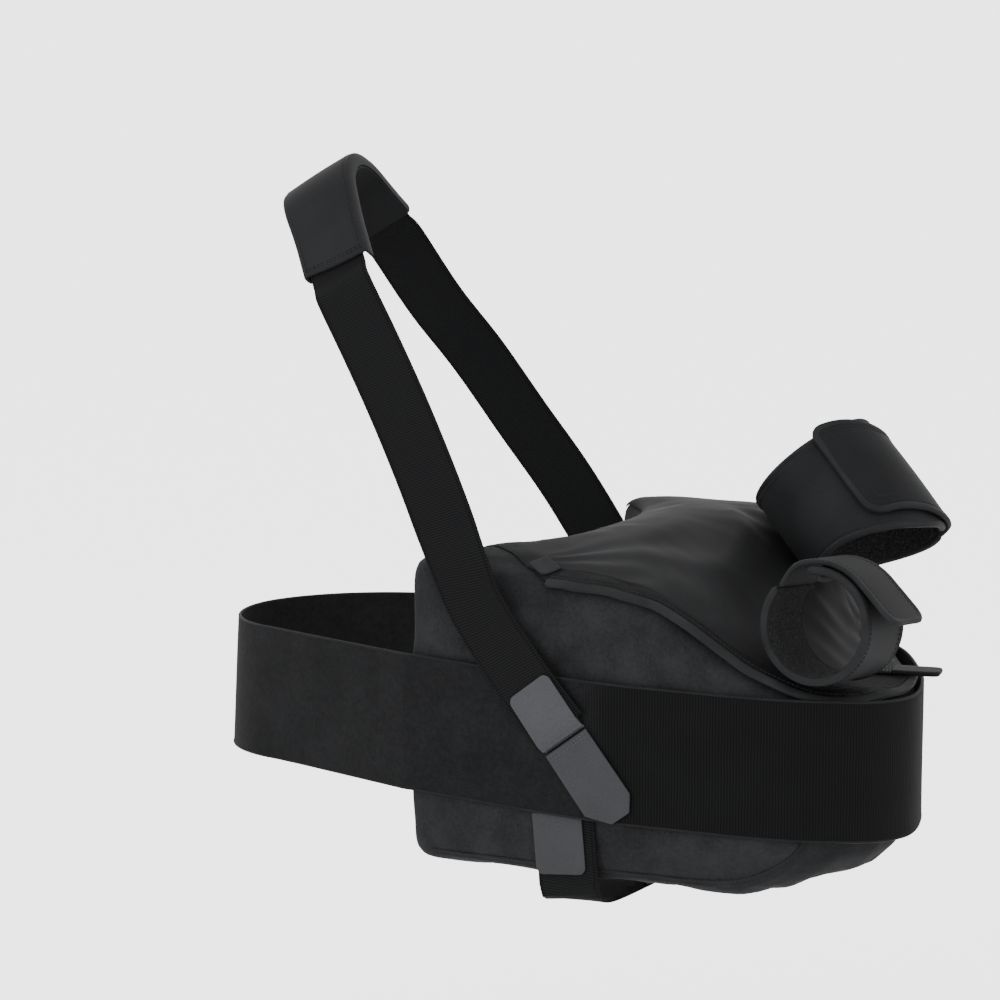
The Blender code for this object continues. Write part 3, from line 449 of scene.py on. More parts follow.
def twill(name="laminated_twill", dark=0.0105, light=0.0245):
    """Smooth cloth with a fine diagonal twill line."""
    n = Nodes(name)
    uv = n.split("UV")
    slant = n.math("MULTIPLY_ADD", uv[1], 0.85, uv[0])
    lines = n.sine(slant, 0.0021, n.sum((n.noise(50.0, 1.0), 1.2)))
    fibre = n.noise(1300.0, 2.0, 0.6)
    value = n.sum((lines, 0.16), (fibre, 0.40), (n.noise(22.0, 2.0, 0.5), 0.44))
    n.bump(n.sum((lines, 0.4), (fibre, 0.5)), 0.25, 0.0002)
    return n.finish(n.tint(n.ramp(value, 0.25, 0.80), grey(dark), grey(light, 1.08)), 0.66)


def binding(name="edge_tape", dark=0.016, light=0.034):
    """Folded knit edge tape with a soft sheen."""
    n = Nodes(name)
    rib, fibre = n.sine(n.split("UV")[0], 0.0009), n.noise(1100.0, 2.0, 0.6)
    value = n.sum((rib, 0.15), (fibre, 0.35), (n.noise(45.0, 2.0, 0.5), 0.50))
    n.bump(n.math("ADD", rib, fibre), 0.25, 0.0002)
    return n.finish(n.tint(n.ramp(value, 0.25, 0.75), grey(dark), grey(light, 1.05)), 0.66)


def hook_tape(name="hook_tape", dark=0.070, light=0.094):
    """Grey hook tape: flat, finely dotted, with a satin face."""
    n = Nodes(name)
    dots, fibre = n.cells(1150.0), n.noise(900.0, 2.0, 0.6)
    value = n.sum((dots, 0.35), (fibre, 0.25), (n.noise(35.0, 2.0, 0.5), 0.35))
    n.bump(n.math("ADD", dots, fibre), 0.25, 0.0002)
    return n.finish(n.tint(n.ramp(value, 0.20, 0.75), grey(dark), grey(light, 1.09)), 0.62, 0.0)


def terry():
    """Looped lining with light grains."""
    n = Nodes("terry_lining")
    loops, sparkle = n.cells(620.0), n.ramp(n.noise(520.0, 3.0, 0.7), 0.55, 0.72)
    value = n.math("ADD", n.sum((loops, 0.5)), n.sum((sparkle, 0.8)), clamp=True)
    n.bump(n.math("ADD", loops, sparkle), 0.9, 0.0009)
    return n.finish(n.tint(value, grey(0.0050), grey(0.085, 1.0)), 0.92)


def thread(name, level):
    n = Nodes(name)
    twist = n.noise(2500.0, 1.0)
    n.bump(twist, 0.3, 0.0002)
    return n.finish(n.tint(twist, grey(level * 0.7), grey(level * 1.25)), 0.6)


def moulded():
    n = Nodes("moulded_zip")
    grain = n.noise(700.0, 2.0)
    n.bump(grain, 0.12, 0.0002)
    return n.finish(n.tint(grain, grey(0.010), grey(0.020)), n.math("MULTIPLY_ADD", grain, 0.15, 0.36), 0.0, 0.3)


def foam():
    n = Nodes("cushion_foam")
    pores = n.cells(900.0)
    n.bump(pores, 0.6, 0.0005)
    return n.finish(n.tint(pores, grey(0.020), grey(0.060)), 0.95)


VELOUR = velour()
VELOUR_TAPE = binding("dark_edge_tape", 0.013, 0.026)
BELT = belt_cloth()
EDGE_LINE = binding("overlocked_edge", 0.013, 0.024)
WEBBING = webbing()
RIBBED = webbing("rib_band", 0.0023, 0.005, 0.0175)
TWILL = twill()
CUFF = twill("cuff_twill", 0.0135, 0.0300)
PAD_CLOTH = twill("pad_cloth", 0.0130, 0.0260)
FLAP = twill("flap_twill", 0.0105, 0.0230)
TAPE = binding()
LIGHT_TAPE = binding("light_edge_tape", 0.018, 0.034)
HOOK = hook_tape()
# a darker grey of the hook tape, put on the two tab leaves lowest on the cushion's front (the front tab's end
# leaf and the lower tab's outer leaf)
DEEPER_GREY_HOOK = hook_tape("deeper_grey_hook_tape", 0.050, 0.068)
DARK_HOOK = hook_tape("dark_hook_tape", 0.017, 0.026)
BLACK_HOOK = hook_tape("black_hook_tape", 0.006, 0.012)
TERRY = terry()
THREAD = thread("dark_thread", 0.030)
GREY_THREAD = thread("grey_thread", 0.110)
MOULDED = moulded()
FOAM = foam()


# ---------------------------------------------------------------- plan curves
outline = smooth_path(OUTLINE, 240)
outline_along = tangents(outline)
outline_normal = np.stack([outline_along[:, 1], -outline_along[:, 0]], 1)
outline_length = distances(outline)
arc_angle = np.radians(np.linspace(*BODY_SIDE_ANGLES, 240))
inner_curve = np.stack([BODY_SIDE[0] * np.cos(arc_angle), BODY_SIDE[1] * np.sin(arc_angle)], 1)
inner_curve = even(inner_curve, 240)


def front_wall(x, offset):
    front = outline[:, 1] < -0.1
    xs = outline[front, 0]
    cut = int(np.argmax(xs)) + 1
    y = np.interp(x, xs[:cut], outline[front, 1][:cut])
    nx = np.interp(x, xs[:cut], outline_normal[front, 0][:cut])
    normal = np.array([nx, -math.sqrt(max(1.0 - nx * nx, 0.0)), 0.0])
    return np.array([x, y, 0.0]) + normal * offset, normal


def hull(points):
    points = sorted(map(tuple, points))

    def half(order):
        chain = []
        for p in order:
            while len(chain) > 1:
                (ax, ay), (bx, by) = chain[-2:]
                if (bx - ax) * (p[1] - ay) - (by - ay) * (p[0] - ax) > 0.0:
                    break
                chain.pop()
            chain.append(p)
        return chain[:-1]

    return np.array(half(points) + half(points[::-1]))


def belt_loop():
    """The belt's inner face seen from above, in even steps from the back of the cushion."""
    bulge = np.exp(-((outline[:, 0] - 0.155) / 0.060) ** 2) * (outline[:, 1] < 0.0)
    cushion = outline + outline_normal * (BELT_OFFSET + BELT_BULGE * bulge)[:, None]
    angle = np.radians(np.arange(0.0, 360.0, 3.0))
    trunk = np.stack([TRUNK[0] * np.cos(angle), TRUNK[1] * np.sin(angle)], 1)
    loop = hull(np.vstack([cushion, trunk]))
    start = int(np.argmin(np.linalg.norm(loop - np.array([0.240, 0.070]), axis=1)))
    loop = np.roll(loop, -start, axis=0)
    return even(np.vstack([loop, loop[:1]]), 420)[:-1]


LOOP = belt_loop()


def belt_rise(x, y):
    front = np.interp(x, (-0.152, -0.097, 0.035, 0.100, 0.200, 0.300, 0.345, 0.385),
                      (0.003, 0.006, 0.009, 0.006, 0.002, 0.0, -0.001, -0.006))
    back = np.interp(x, (-0.152, 0.0, 0.380), (0.003, 0.001, -0.002))
    share = smoothstep((y + 0.060) / 0.120)
    return front * (1.0 - share) + back * share


def belt_strip():
    """The belt from its inner end, once round and over itself by the lap."""
    closed = np.vstack([LOOP, LOOP, LOOP[:1]])
    steps = distances(closed)
    total = steps[len(LOOP)]
    back = np.where(LOOP[:, 1] > 0.05)[0]
    order = back[np.argsort(-LOOP[back, 0])]
    end_at = float(np.interp(-BELT_CLOSURE_X, -LOOP[order, 0], steps[order]))
    at = np.linspace(end_at - BELT_LAP, end_at + total, 460)
    plan = pick(at, steps, closed)
    along = tangents(plan)
    out = np.column_stack([along[:, 1], -along[:, 0], np.zeros(len(at))])
    lift = smoothstep((at - (end_at - BELT_LAP + total - 0.050)) / 0.040) * (BELT_THICKNESS + GAP)
    rise = belt_rise(plan[:, 0], plan[:, 1])
    path = np.column_stack([plan, rise]) + out * lift[:, None]
    flare = 0.05 * smoothstep((-0.060 - plan[:, 0]) / 0.090)
    side = unit(np.column_stack([np.zeros((len(at), 2)), np.ones(len(at))]) - out * flare[:, None])
    return Strip(path, side, out)


BELT_STRIP = belt_strip()


def belt_front(x, z, offset):
    front = LOOP[(LOOP[:, 1] < -0.14) & (LOOP[:, 0] > 0.02) & (LOOP[:, 0] < 0.32)]
    front = front[np.argsort(front[:, 0])]
    slope = np.gradient(front[:, 1], front[:, 0])
    y = float(np.interp(x, front[:, 0], front[:, 1]))
    along = unit(np.array([1.0, float(np.interp(x, front[:, 0], slope)), 0.0]))
    normal = np.array([along[1], -along[0], 0.0])
    return np.array([x, y, z]) + normal * (BELT_THICKNESS + offset), normal, along


def hanging(x, z, offset):
    point, normal = front_wall(x, offset)
    along = np.array([-normal[1], normal[0], 0.0])
    return point + UP * z, normal, along


# ---------------------------------------------------------------- the cushion
def swell(piece, caps, frames=20):
    """Lets the closed cover swell as cloth, then limits how far each point has moved."""
    before = np.zeros(len(piece.data.vertices) * 3)
    piece.data.vertices.foreach_get("co", before)
    before = before.reshape(-1, 3)
    bpy.context.view_layer.objects.active = piece
    cloth = piece.modifiers.new("swell", "CLOTH")
    settings = cloth.settings
    settings.quality = 4
    settings.mass = 0.3
    settings.tension_stiffness = 25.0
    settings.compression_stiffness = 25.0
    settings.bending_stiffness = 2.0
    settings.use_pressure = True
    settings.uniform_pressure_force = 4.0
    settings.effector_weights.gravity = 0.0
    scene = bpy.context.scene
    for number in range(1, frames + 1):
        scene.frame_set(number)
    shown = piece.evaluated_get(bpy.context.evaluated_depsgraph_get())
    after = np.array([v.co for v in shown.data.vertices])
    piece.modifiers.remove(cloth)
    scene.frame_set(1)
    move = after - before
    size = np.linalg.norm(move, axis=1)
    limit = caps(before)
    scale = np.where(size > 1e-9, limit * np.tanh(size / limit) / np.maximum(size, 1e-9), 0.0)
    piece.data.vertices.foreach_set("co", (before + move * scale[:, None]).ravel())
    piece.data.update()


def cushion_caps(points):
    """The cushion can only swell a little under the belt and under the strap where it runs down its front."""
    under_belt = np.exp(-(points[:, 2] / 0.062) ** 8)
    under_strap = np.exp(-((points[:, 0] - 0.154) / 0.034) ** 4) * (points[:, 2] < 0.0) * (points[:, 1] < -0.1)
    return 0.0032 * (1.0 - 0.74 * np.maximum(under_belt, under_strap))


def relax(shaped, factor):
    bmesh.ops.smooth_vert(shaped, verts=shaped.verts, factor=factor, use_axis_x=True, use_axis_y=True,
                          use_axis_z=True)


def build_cushion():
    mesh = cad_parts["foam_core"].data.copy()
    mesh.name = "cushion_cover"
    piece = put("cushion_cover", mesh)
    bpy.context.view_layer.objects.active = piece
    remesh = piece.modifiers.new("even", "REMESH")
    remesh.mode = "VOXEL"
    remesh.voxel_size = 0.0045
    shown = piece.evaluated_get(bpy.context.evaluated_depsgraph_get())
    even_mesh = bpy.data.meshes.new_from_object(shown)
    piece.modifiers.clear()
    piece.data = even_mesh
    shaped = bmesh.new()
    shaped.from_mesh(even_mesh)
    relax(shaped, 0.5)
    shaped.normal_update()
    for vertex in shaped.verts:
        vertex.co += vertex.normal * 0.0020
    shaped.to_mesh(even_mesh)
    shaped.free()
    swell(piece, cushion_caps)
    shaped = bmesh.new()
    shaped.from_mesh(piece.data)
    shaped.normal_update()
    for vertex in shaped.verts:
        vertex.co += vertex.normal * 0.00035 * noise.noise(vertex.co * 38.0)
    bmesh.ops.subdivide_edges(shaped, edges=shaped.edges, cuts=1, use_grid_fill=True, smooth=0.0)
    relax(shaped, 0.3)
    shaped.to_mesh(piece.data)
    shaped.free()
    piece.data.shade_smooth()
    piece.data.materials.clear()
    piece.data.materials.append(VELOUR)
    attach(piece, "sling")
    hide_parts("foam_core", "front_cover_panel", "lateral_gusset_panel", "top_cover_panel",
                "bottom_cover_panel", "body_side_panel", "front_end_panel", "rear_end_panel")
    shape = bmesh.new()
    shape.from_mesh(piece.data)
    tree = BVHTree.FromBMesh(shape)
    shape.free()
    return tree


CUSHION = build_cushion()


def onto(point, direction, fallback):
    """Where a ray meets the cushion, and the cushion's normal there."""
    hit, normal, _, _ = CUSHION.ray_cast(Vector(point), Vector(direction))
    if hit is None:
        return np.asarray(fallback, float), -unit(direction)
    normal = np.array(normal)
    if np.dot(normal, direction) > 0.0:
        normal = -normal
    return np.array(hit), normal


def on_front_face(x, z):
    """A point on the cushion's front at x and z."""
    base, normal = front_wall(x, 0.0)
    start = base + UP * z + normal * 0.05
    return onto(start, -normal, base + UP * z)


def build_front_seam():
    low, lateral = -0.086, 0.329
    long, high = 0.078, 0.048
    spots = [(x, low) for x in np.linspace(0.046, lateral - long, 50)]
    spots += [(lateral - long + long * math.sin(a), low + high * (1.0 - math.cos(a)))
              for a in np.radians(np.linspace(5.0, 90.0, 22))]
    spots += [(lateral, z) for z in np.linspace(-0.034, 0.030, 14)]
    strip = through([on_front_face(x, z) for x, z in spots])
    slab("front_panel_binding_tape", strip, 0.0031, -0.0003, 0.0008, VELOUR_TAPE, "edge_binding",
         "front_panel_binding", columns=5)
    s = np.linspace(0.002, strip.length - 0.002, 200)
    stitches("front_panel_binding_stitches", strip, [lay(s, v) for v in (-0.0019, 0.0019)], 0.0008, THREAD,
             "edge_binding")


build_front_seam()


# ---------------------------------------------------------------- the belt
def build_belt():
    half, length = 0.5 * BELT_WIDTH, BELT_STRIP.length
    belt = slab("belt_body", BELT_STRIP, half - 0.0012, 0.0002, 0.0023, BELT, "belt_cloth", "waist_belt",
                columns=22, step=0.004, relief=ripples(0.00035, 22.0, 3.0, 0.6))
    s = np.linspace(0.0, length, 460)
    for name, sign in (("belt_edge_upper", 1.0), ("belt_edge_lower", -1.0)):
        edging(name, BELT_STRIP, lay(s, sign * (half - 0.0011)), 0.0011, 0.0, 0.0025, EDGE_LINE, "belt_cloth")


def build_belt_tab():
    end = BELT_STRIP.at(BELT_STRIP.length, 0.0, BELT_THICKNESS)
    along = unit(BELT_STRIP.path[-1] - BELT_STRIP.path[-3])
    out = np.array([along[1], -along[0], 0.0])
    root = end - out * BELT_THICKNESS + along * 0.0006
    strip = Strip([root + along * s for s in np.linspace(0.0, 0.062, 30)], UP, out)
    slab("belt_tab_leaf_cloth", strip, corner(0.044, 0.062, 0.012), 0.0013, 0.0027, HOOK, "hook_tape",
         "belt_tab_leaf", "belt_tab", (0.0, 0.062), columns=10)
    slab("belt_tab_hook_strip", strip, corner(0.040, 0.054, 0.010), 0.0, 0.0010, DARK_HOOK, "hook_tape",
         "belt_tab_hook_face", "belt_tab", (0.003, 0.054), columns=8)
    rows = [round_end(0.002, 0.062, (0.044, 0.044), (0.012, 0.012), 0.003),
            lay(0.006, np.linspace(-0.038, 0.038, 30))]
    stitches("belt_tab_stitches", strip, rows, 0.0027, GREY_THREAD, "hook_tape", "belt_tab")


build_belt()
build_belt_tab()


# ---------------------------------------------------------------- the shoulder strap
def shoulder_place(distance):
    back = np.array([0.0, 1.0, 0.0])
    top = np.array([-math.sin(SHOULDER_TILT), 0.0, math.cos(SHOULDER_TILT)])
    turn = float(np.clip(distance / SHOULDER_RADIUS, -SHOULDER_SLOPE, SHOULDER_SLOPE))
    out = math.cos(turn) * top - math.sin(turn) * back
    down = -math.cos(turn) * back - math.sin(turn) * top
    rest = distance - turn * SHOULDER_RADIUS
    return SHOULDER_CENTRE + out * SHOULDER_RADIUS + down * rest, out


def strap_strip():
    level = np.array([1.0, 0.0, 0.0])
    guides = []
    for x, z in ((0.1516, 0.0159), (0.143, 0.026), (0.133, 0.038), (0.124, 0.049), (0.115, 0.0605),
                 (0.104, 0.0745), (0.094, 0.088), (0.084, 0.104)):
        point, out, along = belt_front(x, z, STRAP_OVER_BELT)
        line = along * -0.62 + UP * 0.785
        guides.append((point, unit(np.cross(line, out))))
    last = belt_front(0.0735, 0.127, STRAP_OVER_BELT - 0.0005)[0]
    guides.append((last, unit(guides[-1][1] + SHOULDER_AXIS)))
    first = shoulder_place(0.130)[0]
    for share in (0.14, 0.34, 0.56, 0.78):
        aside = np.array([0.004, 0.0, 0.0]) * math.sin(math.pi * share)
        guides.append((last + (first - last) * share + aside, SHOULDER_AXIS))
    guides += [(shoulder_place(distance)[0], SHOULDER_AXIS) for distance in np.linspace(0.130, -0.100, 20)]
    back_side = unit(np.array([0.86, 0.0, 0.50]))
    for point in ((-0.026, 0.092, 0.283), (0.002, 0.114, 0.239), (0.034, 0.125, 0.190),
                  (0.072, 0.127, 0.138), (0.112, 0.121, 0.078), (0.158, 0.109, 0.010),
                  (0.190, 0.101, -0.045)):
        guides.append((np.array(point), back_side))
    for point in ((0.208, 0.094, -0.084), (0.2135, 0.080, -0.0985), (0.212, 0.052, -0.1035),
                  (0.205, 0.000, -0.1050), (0.192, -0.060, -0.1065), (0.176, -0.120, -0.1080)):
        guides.append((np.array(point), level))
    upward = []
    for x, z in ((0.1565, -0.097), (0.156, -0.089), (0.155, -0.080), (0.154, -0.067), (0.153, -0.054),
                 (0.152, -0.042), (0.151, -0.030)):
        point, _, along = hanging(x, z, STRAP_ON_COVER)
        upward.append((point, along))
    corner_point = upward[0][0] + np.array([0.004, 0.010, -0.0105])
    guides.append((corner_point, level))
    guides += upward
    route = smooth_path([np.concatenate([point, side]) for point, side in guides], 420)
    points, side = route[:, :3], route[:, 3:]
    along = tangents(points)
    side = unit(side - along * np.sum(side * along, axis=1, keepdims=True))
    return Strip(points, side, np.cross(side, along))


STRAP = strap_strip()


def build_strap():
    strap = slab("strap_webbing_run", STRAP, 0.5 * STRAP_WIDTH, 0.0, STRAP_THICKNESS, WEBBING, "strap_webbing",
                 "shoulder_strap", columns=14, step=0.004, relief=ripples(0.00025, 30.0, 8.0))


def tab_strip(start, line, place, first, last, count):
    """Strip down a hook tab, between two distances from its start."""
    line = unit(line)
    return through([place(*(start + line * s)) for s in np.linspace(first, last, count)])


def build_front_tab():
    """Two grey hook leaves grip the strap's end; the third lies on the belt."""
    half = 0.5 * TAB_WIDTH
    across = np.linspace(-half + 0.003, half - 0.003, 30)

    def on_belt(x, z):
        return belt_front(x, z, OVER_BELT)

    def on_strap(x, z):
        """The upper leaf comes down off the strap's end to where it is sewn to the other leaves."""
        s = (x - FRONT_TAB_START[0]) / FRONT_TAB_LINE[0]
        fall = 0.0023 * float(smoothstep((s - 0.0385) / 0.0055))
        return belt_front(x, z, STRAP_OVER_BELT + STRAP_THICKNESS + GAP - fall)

    def run(place, first, last, count):
        return tab_strip(FRONT_TAB_START, FRONT_TAB_LINE, place, first, last, count)

    def bevel(reach, cut, soft):
        def width(s):
            share = max(0.0, s - (strip.length - reach)) / reach
            return half - cut * share - soft * smoothstep(share)
        return width

    strip = run(on_strap, 0.0, 0.0454, 44)
    slab("front_tab_upper_tape", strip, corner(half, 0.0, 0.0055), 0.0, LEAF, HOOK, "hook_tape",
         "front_tab_upper_leaf", "front_tab_upper", (0.0, 0.0453), columns=10, step=0.0015)
    stitches("front_tab_upper_stitches", strip, [lay(s, across) for s in (0.0350, 0.0385, 0.0415, 0.0440)], LEAF,
             GREY_THREAD, "hook_tape", "front_tab_upper", 0.0026, 0.0018)
    slab("front_tab_lower_tape", run(on_belt, 0.0, 0.0445, 24), corner(half - 0.001, 0.0, 0.0055), 0.0, LEAF,
         HOOK, "hook_tape", "front_tab_lower_leaf", span=(0.0, 0.0445), columns=8)
    slab("front_tab_join_tape", run(on_belt, 0.0432, 0.0452, 6), half - 0.0005, -0.0006, -0.0003, HOOK,
         "hook_tape", columns=6, step=0.001)
    strip = run(on_belt, 0.0470, 0.112, 34)
    slab("front_tab_end_tape", strip, (bevel(0.0150, 0.0130, 0.0006), bevel(0.0105, 0.0085, 0.0)), 0.0002, 0.0017,
         DEEPER_GREY_HOOK, "hook_tape", "front_tab_end_leaf", "front_tab_end", step=0.002)
    stitches("front_tab_end_stitches", strip, [lay(s, across) for s in (0.0022, 0.0046)], 0.0017, GREY_THREAD,
             "hook_tape", "front_tab_end", 0.0026, 0.0018)


def build_lower_tab():
    half, under = 0.5 * TAB_WIDTH, COVER_OUT + GAP + 0.0006

    def run(height, first, last, count):
        return tab_strip(LOWER_TAB_START, LOWER_TAB_LINE, lambda x, z: hanging(x, z, height), first, last, count)

    slab("lower_tab_outer_tape", run(STRAP_ON_COVER + STRAP_THICKNESS + 2.0 * GAP, 0.0, 0.0445, 20),
         corner(half, 0.0, 0.0055), 0.0, LEAF, DEEPER_GREY_HOOK, "hook_tape", "lower_tab_outer_leaf",
         span=(0.0, 0.0445), columns=10, step=0.002)
    slab("lower_tab_inner_tape", run(under, 0.011, 0.0445, 20), half - 0.001, 0.0, 0.0010, HOOK, "hook_tape",
         "lower_tab_inner_leaf", columns=8)
    strip = run(under, 0.062, 0.110, 24)
    slab("lower_tab_end_tape", strip, corner(half, strip.length, 0.011), 0.0, 0.0018, HOOK, "hook_tape",
         "lower_tab_end_leaf", columns=8)


build_strap()
build_front_tab()
build_lower_tab()


# ---------------------------------------------------------------- the shoulder pad
def build_pad():
    places = [shoulder_place(distance) for distance in np.linspace(PAD_RUN[1], PAD_RUN[0], 60)]
    strip = Strip([p[0] for p in places], SHOULDER_AXIS, [p[1] for p in places])
    length = strip.length

    def half(s):
        distance = PAD_RUN[1] - s
        return 0.5 * (0.055 + 0.007 * float(smoothstep(1.0 - abs(distance) / 0.080)))

    def hem(s, v):
        """The front hem is cut aslant and a little bowed; the rest of the pad is square."""
        share = v / 0.0275
        return s - (0.0048 * share + 0.0022 * (1.0 - share * share)) * np.clip(1.0 - s / 0.060, 0.0, 1.0)

    base = slab("pad_lining", strip, lambda s: half(s) - 0.001, -0.0072, -0.0061, TWILL, "cuff_twill",
                "pad_base_cloth", span=(0.005, length), columns=10)
    inner = slab("pad_filling", strip, lambda s: half(s) - 0.0028, -0.0060, -0.0010, FOAM, "core_foam",
                 "pad_foam", span=(0.007, length - 0.002), columns=8)
    points, uvs = [], []
    stations = np.concatenate([[0.0, 0.0004, 0.0012], np.linspace(0.0025, length - 0.0025, 58),
                               [length - 0.0012, length - 0.0004, length]])
    for s in stations:
        edge = half(s)
        rim = min(1.0, (min(s, length - s) + 0.0003) / 0.0016)
        crown = 0.0010 * math.sin(math.pi * s / length)
        top = 0.0030 + 0.0019 * math.sqrt(min(1.0, rim)) + crown
        low = -0.0058
        wall = [(0.0002 - edge, low), (-edge - 0.0004, 0.35 * low), (-edge, 0.45 * top),
                (0.0012 - edge, 0.86 * top)]
        ring = wall + [(-edge + 0.0012 + (2.0 * edge - 0.0024) * t, top + 0.0007 * math.sin(math.pi * t))
                       for t in np.linspace(0.07, 0.93, 12)]
        ring += [(-v, h) for v, h in wall[::-1]]
        ring += [(edge - 0.0018, low), (edge - 0.0018, 0.0028)]
        ring += [(v, 0.0028) for v in np.linspace(edge - 0.004, -edge + 0.004, 8)]
        ring += [(-edge + 0.0018, 0.0028), (-edge + 0.0018, low)]
        over, above = np.array(ring).T
        points.extend(strip.at(hem(s, over), over, above))
        uvs.extend((s, v) for v in over)
    size, last = len(ring), (len(stations) - 1) * len(ring)
    faces = ring_faces(len(stations), size) + [tuple(range(size)), tuple(range(last, last + size))]
    cover = make("pad_cover_sleeve", points, faces, PAD_CLOTH, "cuff_twill", "pad_cover", uvs=uvs)
    rows = []
    for s0, way in ((0.0, 1.0), (length, -1.0)):
        v = np.linspace(-half(s0) + 0.0025, half(s0) - 0.0025, 40)
        rows += [lay(hem(s0 + way * inset, v), v) for inset in (0.0042, 0.0064)]
    s = np.linspace(0.006, length - 0.006, 120)
    rows += [lay(s, [sign * (half(x) - 0.0042) for x in s]) for sign in (-1.0, 1.0)]
    stitches("pad_stitches", strip, rows, 0.0058, THREAD, "cuff_twill")


build_pad()


# ---------------------------------------------------------------- the top of the cushion
def outline_at(distance):
    """Plan point at a distance along the outline."""
    return pick(distance, outline_length, outline)


def foam_top(x, y):
    """Height of the foam's top, which falls from the part by the trunk to the forearm's rest."""
    high = FOAM_TOP_FRONT + FOAM_TOP_RISE * smoothstep((y + 0.150) / 0.150)
    high = high - FRONT_DROP * smoothstep((x - 0.050) / 0.160) * (1.0 - smoothstep((y + 0.170) / 0.080))
    middle = 0.258 + 0.29 * (y + 0.190) - 0.016 * smoothstep((y + 0.190) / 0.110)
    half = 0.080 - 0.10 * (y + 0.190)
    fall = smoothstep((x - middle) / (2.0 * half) + 0.5)
    return ARM_REST + (high - ARM_REST) * (1.0 - fall)


def drop(plan):
    """Point over the cushion's top at a plan position."""
    x, y = plan[:2]
    return onto((x, y, 0.25), (0.0, 0.0, -1.0), (x, y, float(foam_top(x, y)) + COVER_OUT))


def narrow(reach):
    """How much the sheet and the band are squeezed where the cushion's top is narrow."""
    return min(1.0, reach / 0.115)


def top_grid(first, last, rows, columns):
    """Places on the cushion's top: rows along its outline, and columns at the distances in from there.

    Nearer to the outline than EDGE_REST the cloth is stiff enough to keep its height, with a slight droop.
    """
    grid, out = [], []
    for distance in np.linspace(first, last, rows):
        start = outline_at(distance)
        inner = pick(distance / outline_length[-1], np.linspace(0.0, 1.0, 240), inner_curve)
        reach = np.linalg.norm(inner - start)
        across = (inner - start) / reach
        for inset in columns(reach):
            hit, normal = drop(start + across * max(inset, EDGE_REST))
            hang = max(EDGE_REST - inset, 0.0)
            grid.append((*(start + across * inset), hit[2] - 12.0 * hang * hang))
            out.append(unit(normal - np.array([*across, 0.0]) * 28.0 * hang))
    return np.array(grid).reshape(rows, -1, 3), np.array(out).reshape(rows, -1, 3)


def raise_clear(grid, first):
    """Lifts the places from the given column on to the cushion's top wherever they sank below it."""
    for row in grid:
        for place in row[first:]:
            place[2] = max(place[2], drop(place)[0][2])


def soften(grid, times):
    """Evens out a grid of points or normals, its border kept."""
    grid = grid.copy()
    for _ in range(times):
        middle = grid[1:-1, 1:-1]
        around = grid[:-2, 1:-1] + grid[2:, 1:-1] + grid[1:-1, :-2] + grid[1:-1, 2:]
        grid[1:-1, 1:-1] = 0.4 * middle + 0.15 * around
    return grid


def roughness(grid, size, scale, seed):
    return size * wander(grid.reshape(-1, 3), scale, seed).reshape(grid.shape[:2])


def layer(name, grid, out, low, high, finish, slot, node, relief):
    """A closed sheet over a grid of places with rounded borders, and the lengths of its two sides."""
    rows, columns = grid.shape[:2]
    near = np.minimum.outer(np.minimum(np.arange(rows), rows - 1 - np.arange(rows)),
                            np.minimum(np.arange(columns), columns - 1 - np.arange(columns)))
    thin = np.clip(0.25 + 0.75 * near, 0.0, 1.0)
    middle = 0.5 * (low + high)
    upper = grid + out * (middle + (high - middle) * thin + relief)[..., None]
    lower = grid + out * (middle + (low - middle) * thin + 0.6 * relief)[..., None]
    points = np.concatenate([upper.reshape(-1, 3), lower.reshape(-1, 3)])
    size = rows * columns
    faces = []
    for i in range(rows - 1):
        for j in range(columns - 1):
            a, b = i * columns + j, (i + 1) * columns + j
            faces.append((a, b, b + 1, a + 1))
            faces.append((a + size, a + 1 + size, b + 1 + size, b + size))
    rim = [j for j in range(columns)] + [i * columns + columns - 1 for i in range(1, rows)]
    rim += [(rows - 1) * columns + j for j in range(columns - 2, -1, -1)]
    rim += [i * columns for i in range(rows - 2, 0, -1)]
    for a, b in zip(rim, rim[1:] + rim[:1]):
        faces.append((a, b, b + size, a + size))
    along, across = distances(grid[:, columns // 2]), distances(grid[rows // 2])
    uv = np.stack(np.meshgrid(along, across, indexing="ij"), -1).reshape(-1, 2)
    piece = make(name, points, faces, finish, slot, node, uvs=np.concatenate([uv, uv]))
    sides = [np.linalg.norm(np.diff(grid, axis=k), axis=2).sum(k).mean() for k in (0, 1)]
    return piece, sides


def grid_area(grid):
    a = np.cross(grid[1:, :-1] - grid[:-1, :-1], grid[:-1, 1:] - grid[:-1, :-1])
    b = np.cross(grid[1:, 1:] - grid[1:, :-1], grid[1:, 1:] - grid[:-1, 1:])
    return float(0.5 * (np.linalg.norm(a, axis=2).sum() + np.linalg.norm(b, axis=2).sum()))


def build_forearm_sheet(first):
    """The smooth sheet that the forearm lies on, with folds that fan out from its front corner."""
    grid, out = top_grid(first, outline_length[-1] - 0.010, 110,
                         lambda reach: np.linspace(0.036 * narrow(reach), reach - 0.004 * narrow(reach), 38))
    grid, out = soften(grid, 4), unit(soften(out, 12))
    raise_clear(grid, 0)
    away = grid - grid[0, 0]
    reach, angle = np.hypot(away[..., 0], away[..., 1]), np.arctan2(away[..., 1], away[..., 0])
    folds = np.sin(angle * 15.0 + 0.8) * np.exp(-((angle - 0.52) / 0.42) ** 2)
    fan = 0.0011 * folds * smoothstep(reach / 0.03) * np.exp(-reach / 0.16) + roughness(grid, 0.0006, 24.0, 5.0)
    flush = np.minimum(1.0, np.arange(len(grid)) / 5.0)[:, None]
    sheet, sides = layer("forearm_sheet_cloth", grid, out, 0.0, 0.0014, TWILL, "cuff_twill", "forearm_sheet",
                         (fan + 0.0010) * flush)
    max(sides) * 1.04
    min(sides) * 1.8
    grid_area(grid)


